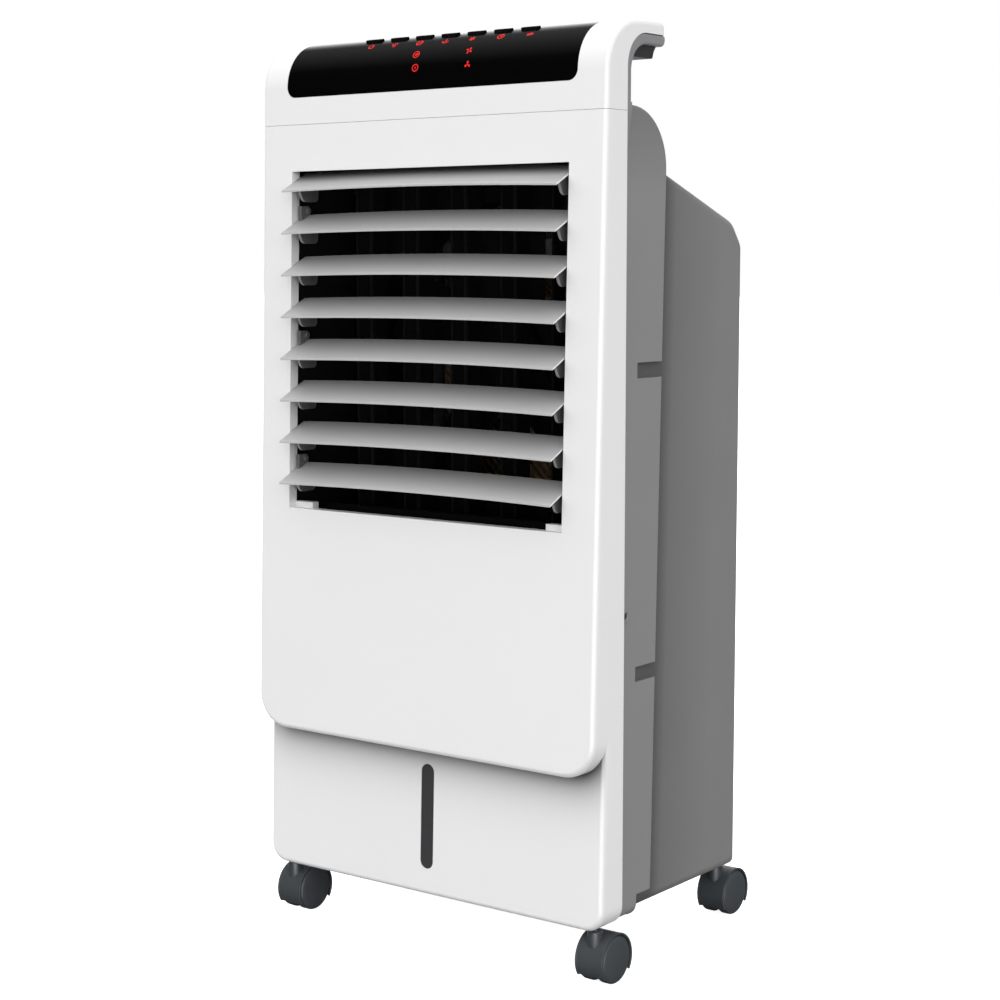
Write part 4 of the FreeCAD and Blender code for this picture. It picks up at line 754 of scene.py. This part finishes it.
def make_wheels(name):
    wheels = "caster_wheels_" + name
    low, high = node_box(wheels)
    x, wheel_y = (low.x + high.x) / 2, (low.y + high.y) / 2
    inner = WHEEL_INNER
    wheel = [(0, inner + 3.4), (7.0, inner + 3.4), (7.0, inner), (18.2, inner), (19.4, inner + 0.7),
             (19.4, 12.2), (19.1, 12.6), (18.7, 12.6), (18.4, 12.9), (17.8, 13.3), (14.0, 13.9),
             (9.0, 14.3), (4.0, CASTER_HALF), (0, CASTER_HALF)]
    tread = [(19.3, inner + 0.8), (19.7, inner + 0.9), (WHEEL_R, inner + 1.6), (WHEEL_R, 11.2),
             (19.7, 11.9), (19.3, 12.0)]
    parts = [lathe([(0, -12.5), (2.0, -12.5), (2.0, 12.5), (0, 12.5)], at(x, wheel_y, WHEEL_R, "x"), 24)]
    treads = []
    for side in (-1, 1):
        def outward(u, v, w, side=side):
            return (x + side * w, wheel_y + u, WHEEL_R + v)
        parts.append(lathe(wheel, outward, 72))
        treads.append(lathe(tread, outward, 72))
    piece("wheel_pair_" + name, parts, WHEEL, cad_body(wheels), (wheels,), sharp=38)
    piece("wheel_treads_" + name, treads, TREAD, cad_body(wheels), (wheels,), sharp=38)


# ------------------------------------------------------------------ small front details
TAB_BLADES = (2, 5, 8)
TAB_X = -140.6
STUD_FACE = 175.3                       # where the side screws start, from the middle


def make_louvre_tabs():
    """Small tabs with a round pin at the back corner of every third blade, in a darker grey than the blades
    that paints the shade they sit in.
    """
    for number in TAB_BLADES:
        node = "louvre_%d" % number
        z = LOUVRE_FIRST - (number - 1) * LOUVRE_PITCH
        back = face_depth(z) + LOUVRE_FRONT + LOUVRE_RUN
        top = z + LOUVRE_RISE + 1.0
        outline = [(back - 10.5, top - 6.0), (back - 4.5, top - 2.4), (back + 1.5, top),
                   (back + 1.5, top + 6.0), (back - 0.5, top + 8.0), (back - 10.5, top + 8.0)]
        tab = prism(outline, along_x, TAB_X - 1.3, TAB_X + 1.3)
        pin = lathe([(0, -3.2), (2.2, -3.2), (2.7, -2.7), (2.7, 2.7), (2.2, 3.2), (0, 3.2)],
                    at(TAB_X, back - 2.2, top + 4.2, "x"), 28)
        piece("louvre_tab_%d" % number, [tab, pin], LOCK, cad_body(node), bevel=0.3)


def cross_shade_bars(long, thin, place, low, high):
    """Two crossed bars that paint the shade inside a cross recess; long and thin are half their length and
    half their width.
    """
    return [prism([(-a, -b), (a, -b), (a, b), (-a, b)], place, low, high)
            for a, b in ((long, thin), (thin, long))]


def make_side_screws():
    """A dark screw on each side, sunk in a raised grey collar, with dark bars that paint the shade of its
    cross recess.
    """
    low, high = node_box("side_studs")
    y, z = (low.y + high.y) / 2, (low.z + high.z) / 2
    for side, name in ((-1, "right"), (1, "left")):
        def outward(u, v, w, side=side):
            return (side * (STUD_FACE + w), y + u, z + v)
        collar = lathe([(2.9, 0.2), (2.9, 1.6), (3.2, 2.1), (4.0, 2.4), (4.7, 2.2), (5.1, 1.6), (5.2, 0.2)],
                       outward, 40)
        head = lathe([(0, 0.1), (2.85, 0.1), (2.85, 0.9), (2.5, 1.3), (1.4, 1.6), (0, 1.7)], outward, 32)
        slots = cross_shade_bars(1.6, 0.3, outward, 1.2, 1.8)
        for title, part, material in (("side_screw_collar_", collar, LINER), ("side_screw_", head, MOTOR)):
            piece(title + name, [part], material, "housing", ("side_studs",), sharp=50)
        # dark bars that paint the shade in the cross recess
        piece("side_screw_cross_" + name, slots, RUBBER, "housing")


# ------------------------------------------------------------------ back details
SCREW_R = 4.0
SCREW_ASIDE = 142.5
SCREW_HEIGHTS = (190.0, 320.0, 450.0, 580.0)
WEAVE_HALF = 118.0                      # the net, from the middle to its side
WEAVE_LOW, WEAVE_HIGH = 240.0, 566.0
WEAVE_ACROSS, WEAVE_UP = 46, 62         # meshes across and up
THREAD_HALF = 0.35


def screw(x, y, z):
    """Pan head, and dark bars that paint the shade of its cross recess, facing backwards."""
    def outward(u, v, w):
        return (x + u, y + w, z + v)
    profile = [(0, 0), (SCREW_R, 0), (SCREW_R, 0.6), (SCREW_R - 0.5, 1.3), (SCREW_R - 1.4, 1.8), (0, 2.1)]
    return lathe(profile, outward, 32), cross_shade_bars(SCREW_R * 0.5, 0.4, outward, 1.5, 2.2)


def make_back_details():
    heads, crosses = [], []
    for x in (-SCREW_ASIDE, SCREW_ASIDE):
        for z in SCREW_HEIGHTS:
            head, cross = screw(x, REAR_BACK, z)
            heads.append(head)
            crosses += cross
    piece("panel_screws", heads, CHROME, "housing", sharp=50)
    # dark bars that paint the shade in the screws' cross recesses
    piece("panel_screw_cross_shades", crosses, RUBBER, "housing")
    plate = prism(rounded(27.0, 9.0, 1.5, (60.0, 199.5)), along_y, REAR_BACK - 0.2, REAR_BACK + 0.35)
    piece("rating_plate", [plate], STEEL, "housing", bevel=0.1)
    bars = []
    for index in range(1, WEAVE_ACROSS):
        x = -WEAVE_HALF + index * 2 * WEAVE_HALF / WEAVE_ACROSS
        bars.append(block(x - THREAD_HALF, x + THREAD_HALF, REAR_BACK - 9.9, REAR_BACK - 9.2,
                          WEAVE_LOW, WEAVE_HIGH))
    for index in range(1, WEAVE_UP):
        z = WEAVE_LOW + index * (WEAVE_HIGH - WEAVE_LOW) / WEAVE_UP
        bars.append(block(-WEAVE_HALF, WEAVE_HALF, REAR_BACK - 9.3, REAR_BACK - 8.6,
                          z - THREAD_HALF, z + THREAD_HALF))
    piece("filter_weave", bars, NET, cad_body("dust_filter"))


# ------------------------------------------------------------------ stage
FLOOR_GLOW = 0.90                       # the paper's own light, for the camera only
FLOOR_SHOWN = 0.78
FLOOR_BOUNCE = 0.30                     # share of light the paper throws back at the cooler
KEY_POWER = 4.0
SIDE_POWER = 15.0
BACK_POWER = 14.0
SKY_LOW, SKY_HIGH = 1.44, 1.56          # light from the horizon and from straight above
SKY_BEHIND = 0.50                       # share of the skylight that comes from the back
GLOSS_EDGES = (0.55, 1.0)
GLOSS_LOW, GLOSS_HIGH = 0.02, 0.7       # what glossy surfaces mirror, horizon and zenith
BOX_TOWARDS = (0.60, -0.80, 0.0)        # direction of the big soft box that edges mirror
BOX_EDGES = (0.80, 0.92)                # cosines where the soft box starts and is full
BOX_LEVEL = 6.2
WALL_AWAY = (-0.60, 0.80, 0.0)          # direction of the bright wall behind the cooler
WALL_EDGES = (0.72, 0.92)
WALL_LEVEL = 1.5
LIGHTS = (("key", (-1.9, -2.6, 1.7), 1.6, KEY_POWER), ("side", (2.7, -1.5, 0.9), 1.8, SIDE_POWER),
          ("back", (-1.2, 2.8, 1.5), 1.8, BACK_POWER))
AIM = Vector((0, 0, 0.4))               # where the lights point
LENS = 75.04
CAMERA_AT = (1088.1, -1337.5, 581.8)
CAMERA_DIP, CAMERA_TURN = 6.491, 37.054  # degrees below level, degrees round from the front


def make_world(scene):
    """Even white tent, brighter overhead and in front; the backdrop itself is plain white."""
    world = bpy.data.worlds.new("studio")
    scene.world = world
    world.use_nodes = True
    world.cycles.sampling_method = "NONE"
    nodes, links = world.node_tree.nodes, world.node_tree.links
    back = nodes["Background"]
    back.inputs["Color"].default_value = (1, 1, 1, 1)
    where = nodes.new("ShaderNodeTexCoord")
    split = nodes.new("ShaderNodeSeparateXYZ")
    links.new(where.outputs["Generated"], split.inputs[0])

    def combined(operation, first, second):
        made = nodes.new("ShaderNodeMath")
        made.operation = operation
        links.new(first, made.inputs[0])
        links.new(second, made.inputs[1])
        return made.outputs[0]

    rise = value_map(nodes, links, split.outputs["Z"], SKY_LOW, SKY_HIGH, 0.0, 1.0)
    front = value_map(nodes, links, split.outputs["Y"], 1.0, SKY_BEHIND, -0.2, 0.8)
    soft = combined("MULTIPLY", rise, front)

    def patch(direction, level, edges):
        """Light from round one direction."""
        toward = nodes.new("ShaderNodeVectorMath")
        toward.operation = "DOT_PRODUCT"
        links.new(where.outputs["Generated"], toward.inputs[0])
        toward.inputs[1].default_value = direction
        return value_map(nodes, links, toward.outputs["Value"], 0.0, level, *edges)

    overhead = value_map(nodes, links, split.outputs["Z"], GLOSS_LOW, GLOSS_HIGH, *GLOSS_EDGES)
    box = patch(BOX_TOWARDS, BOX_LEVEL, BOX_EDGES)
    wall = patch(WALL_AWAY, WALL_LEVEL, WALL_EDGES)
    gloss = combined("ADD", overhead, combined("ADD", box, wall))
    path = nodes.new("ShaderNodeLightPath")
    level = soft
    for flag, other in (("Is Glossy Ray", gloss), ("Is Camera Ray", None)):
        mix = nodes.new("ShaderNodeMix")
        links.new(path.outputs[flag], mix.inputs["Factor"])
        links.new(level, mix.inputs["A"])
        if other:
            links.new(other, mix.inputs["B"])
        else:
            mix.inputs["B"].default_value = 1.0
        level = mix.outputs["Result"]
    links.new(level, back.inputs["Strength"])


def make_stage():
    scene = bpy.context.scene
    scene.view_settings.view_transform = "Standard"
    scene.view_settings.look = "None"
    bpy.ops.mesh.primitive_plane_add(size=60)
    floor = bpy.context.object
    floor.name = "studio_floor"
    material = bpy.data.materials.new("studio_paper")
    material.use_nodes = True
    shader = material.node_tree.nodes["Principled BSDF"]
    shader.inputs["Roughness"].default_value = 0.95
    shader.inputs["Specular IOR Level"].default_value = 0.1
    shader.inputs["Emission Color"].default_value = (1, 1, 1, 1)
    links = material.node_tree.links
    path = material.node_tree.nodes.new("ShaderNodeLightPath")
    shown = path.outputs["Is Camera Ray"]
    links.new(value_map(material.node_tree.nodes, links, shown, FLOOR_BOUNCE, FLOOR_SHOWN, 0.0, 1.0),
              shader.inputs["Base Color"])
    links.new(value_map(material.node_tree.nodes, links, shown, 0.0, FLOOR_GLOW, 0.0, 1.0),
              shader.inputs["Emission Strength"])
    floor.data.materials.append(material)
    floor.visible_glossy = False
    make_world(scene)

    for name, place, size, power in LIGHTS:
        light = bpy.data.lights.new(name, "AREA")
        light.size = size
        light.energy = power
        made = bpy.data.objects.new(name, light)
        scene.collection.objects.link(made)
        made.location = place
        made.visible_glossy = False
        made.rotation_euler = (AIM - Vector(place)).to_track_quat("-Z", "Y").to_euler()

    camera = bpy.data.cameras.new("camera")
    camera.lens = LENS
    camera.sensor_width = 36.0
    camera.clip_end = 200.0
    made = bpy.data.objects.new("camera", camera)
    scene.collection.objects.link(made)
    made.location = mm(*CAMERA_AT)
    made.rotation_euler = (math.radians(90 - CAMERA_DIP), 0, math.radians(CAMERA_TURN))
    scene.camera = made


dress_all()
make_legends()
for caster in CASTERS:
    make_hood(caster)
    make_wheels(caster)
make_louvre_tabs()
make_side_screws()
make_back_details()
make_stage()
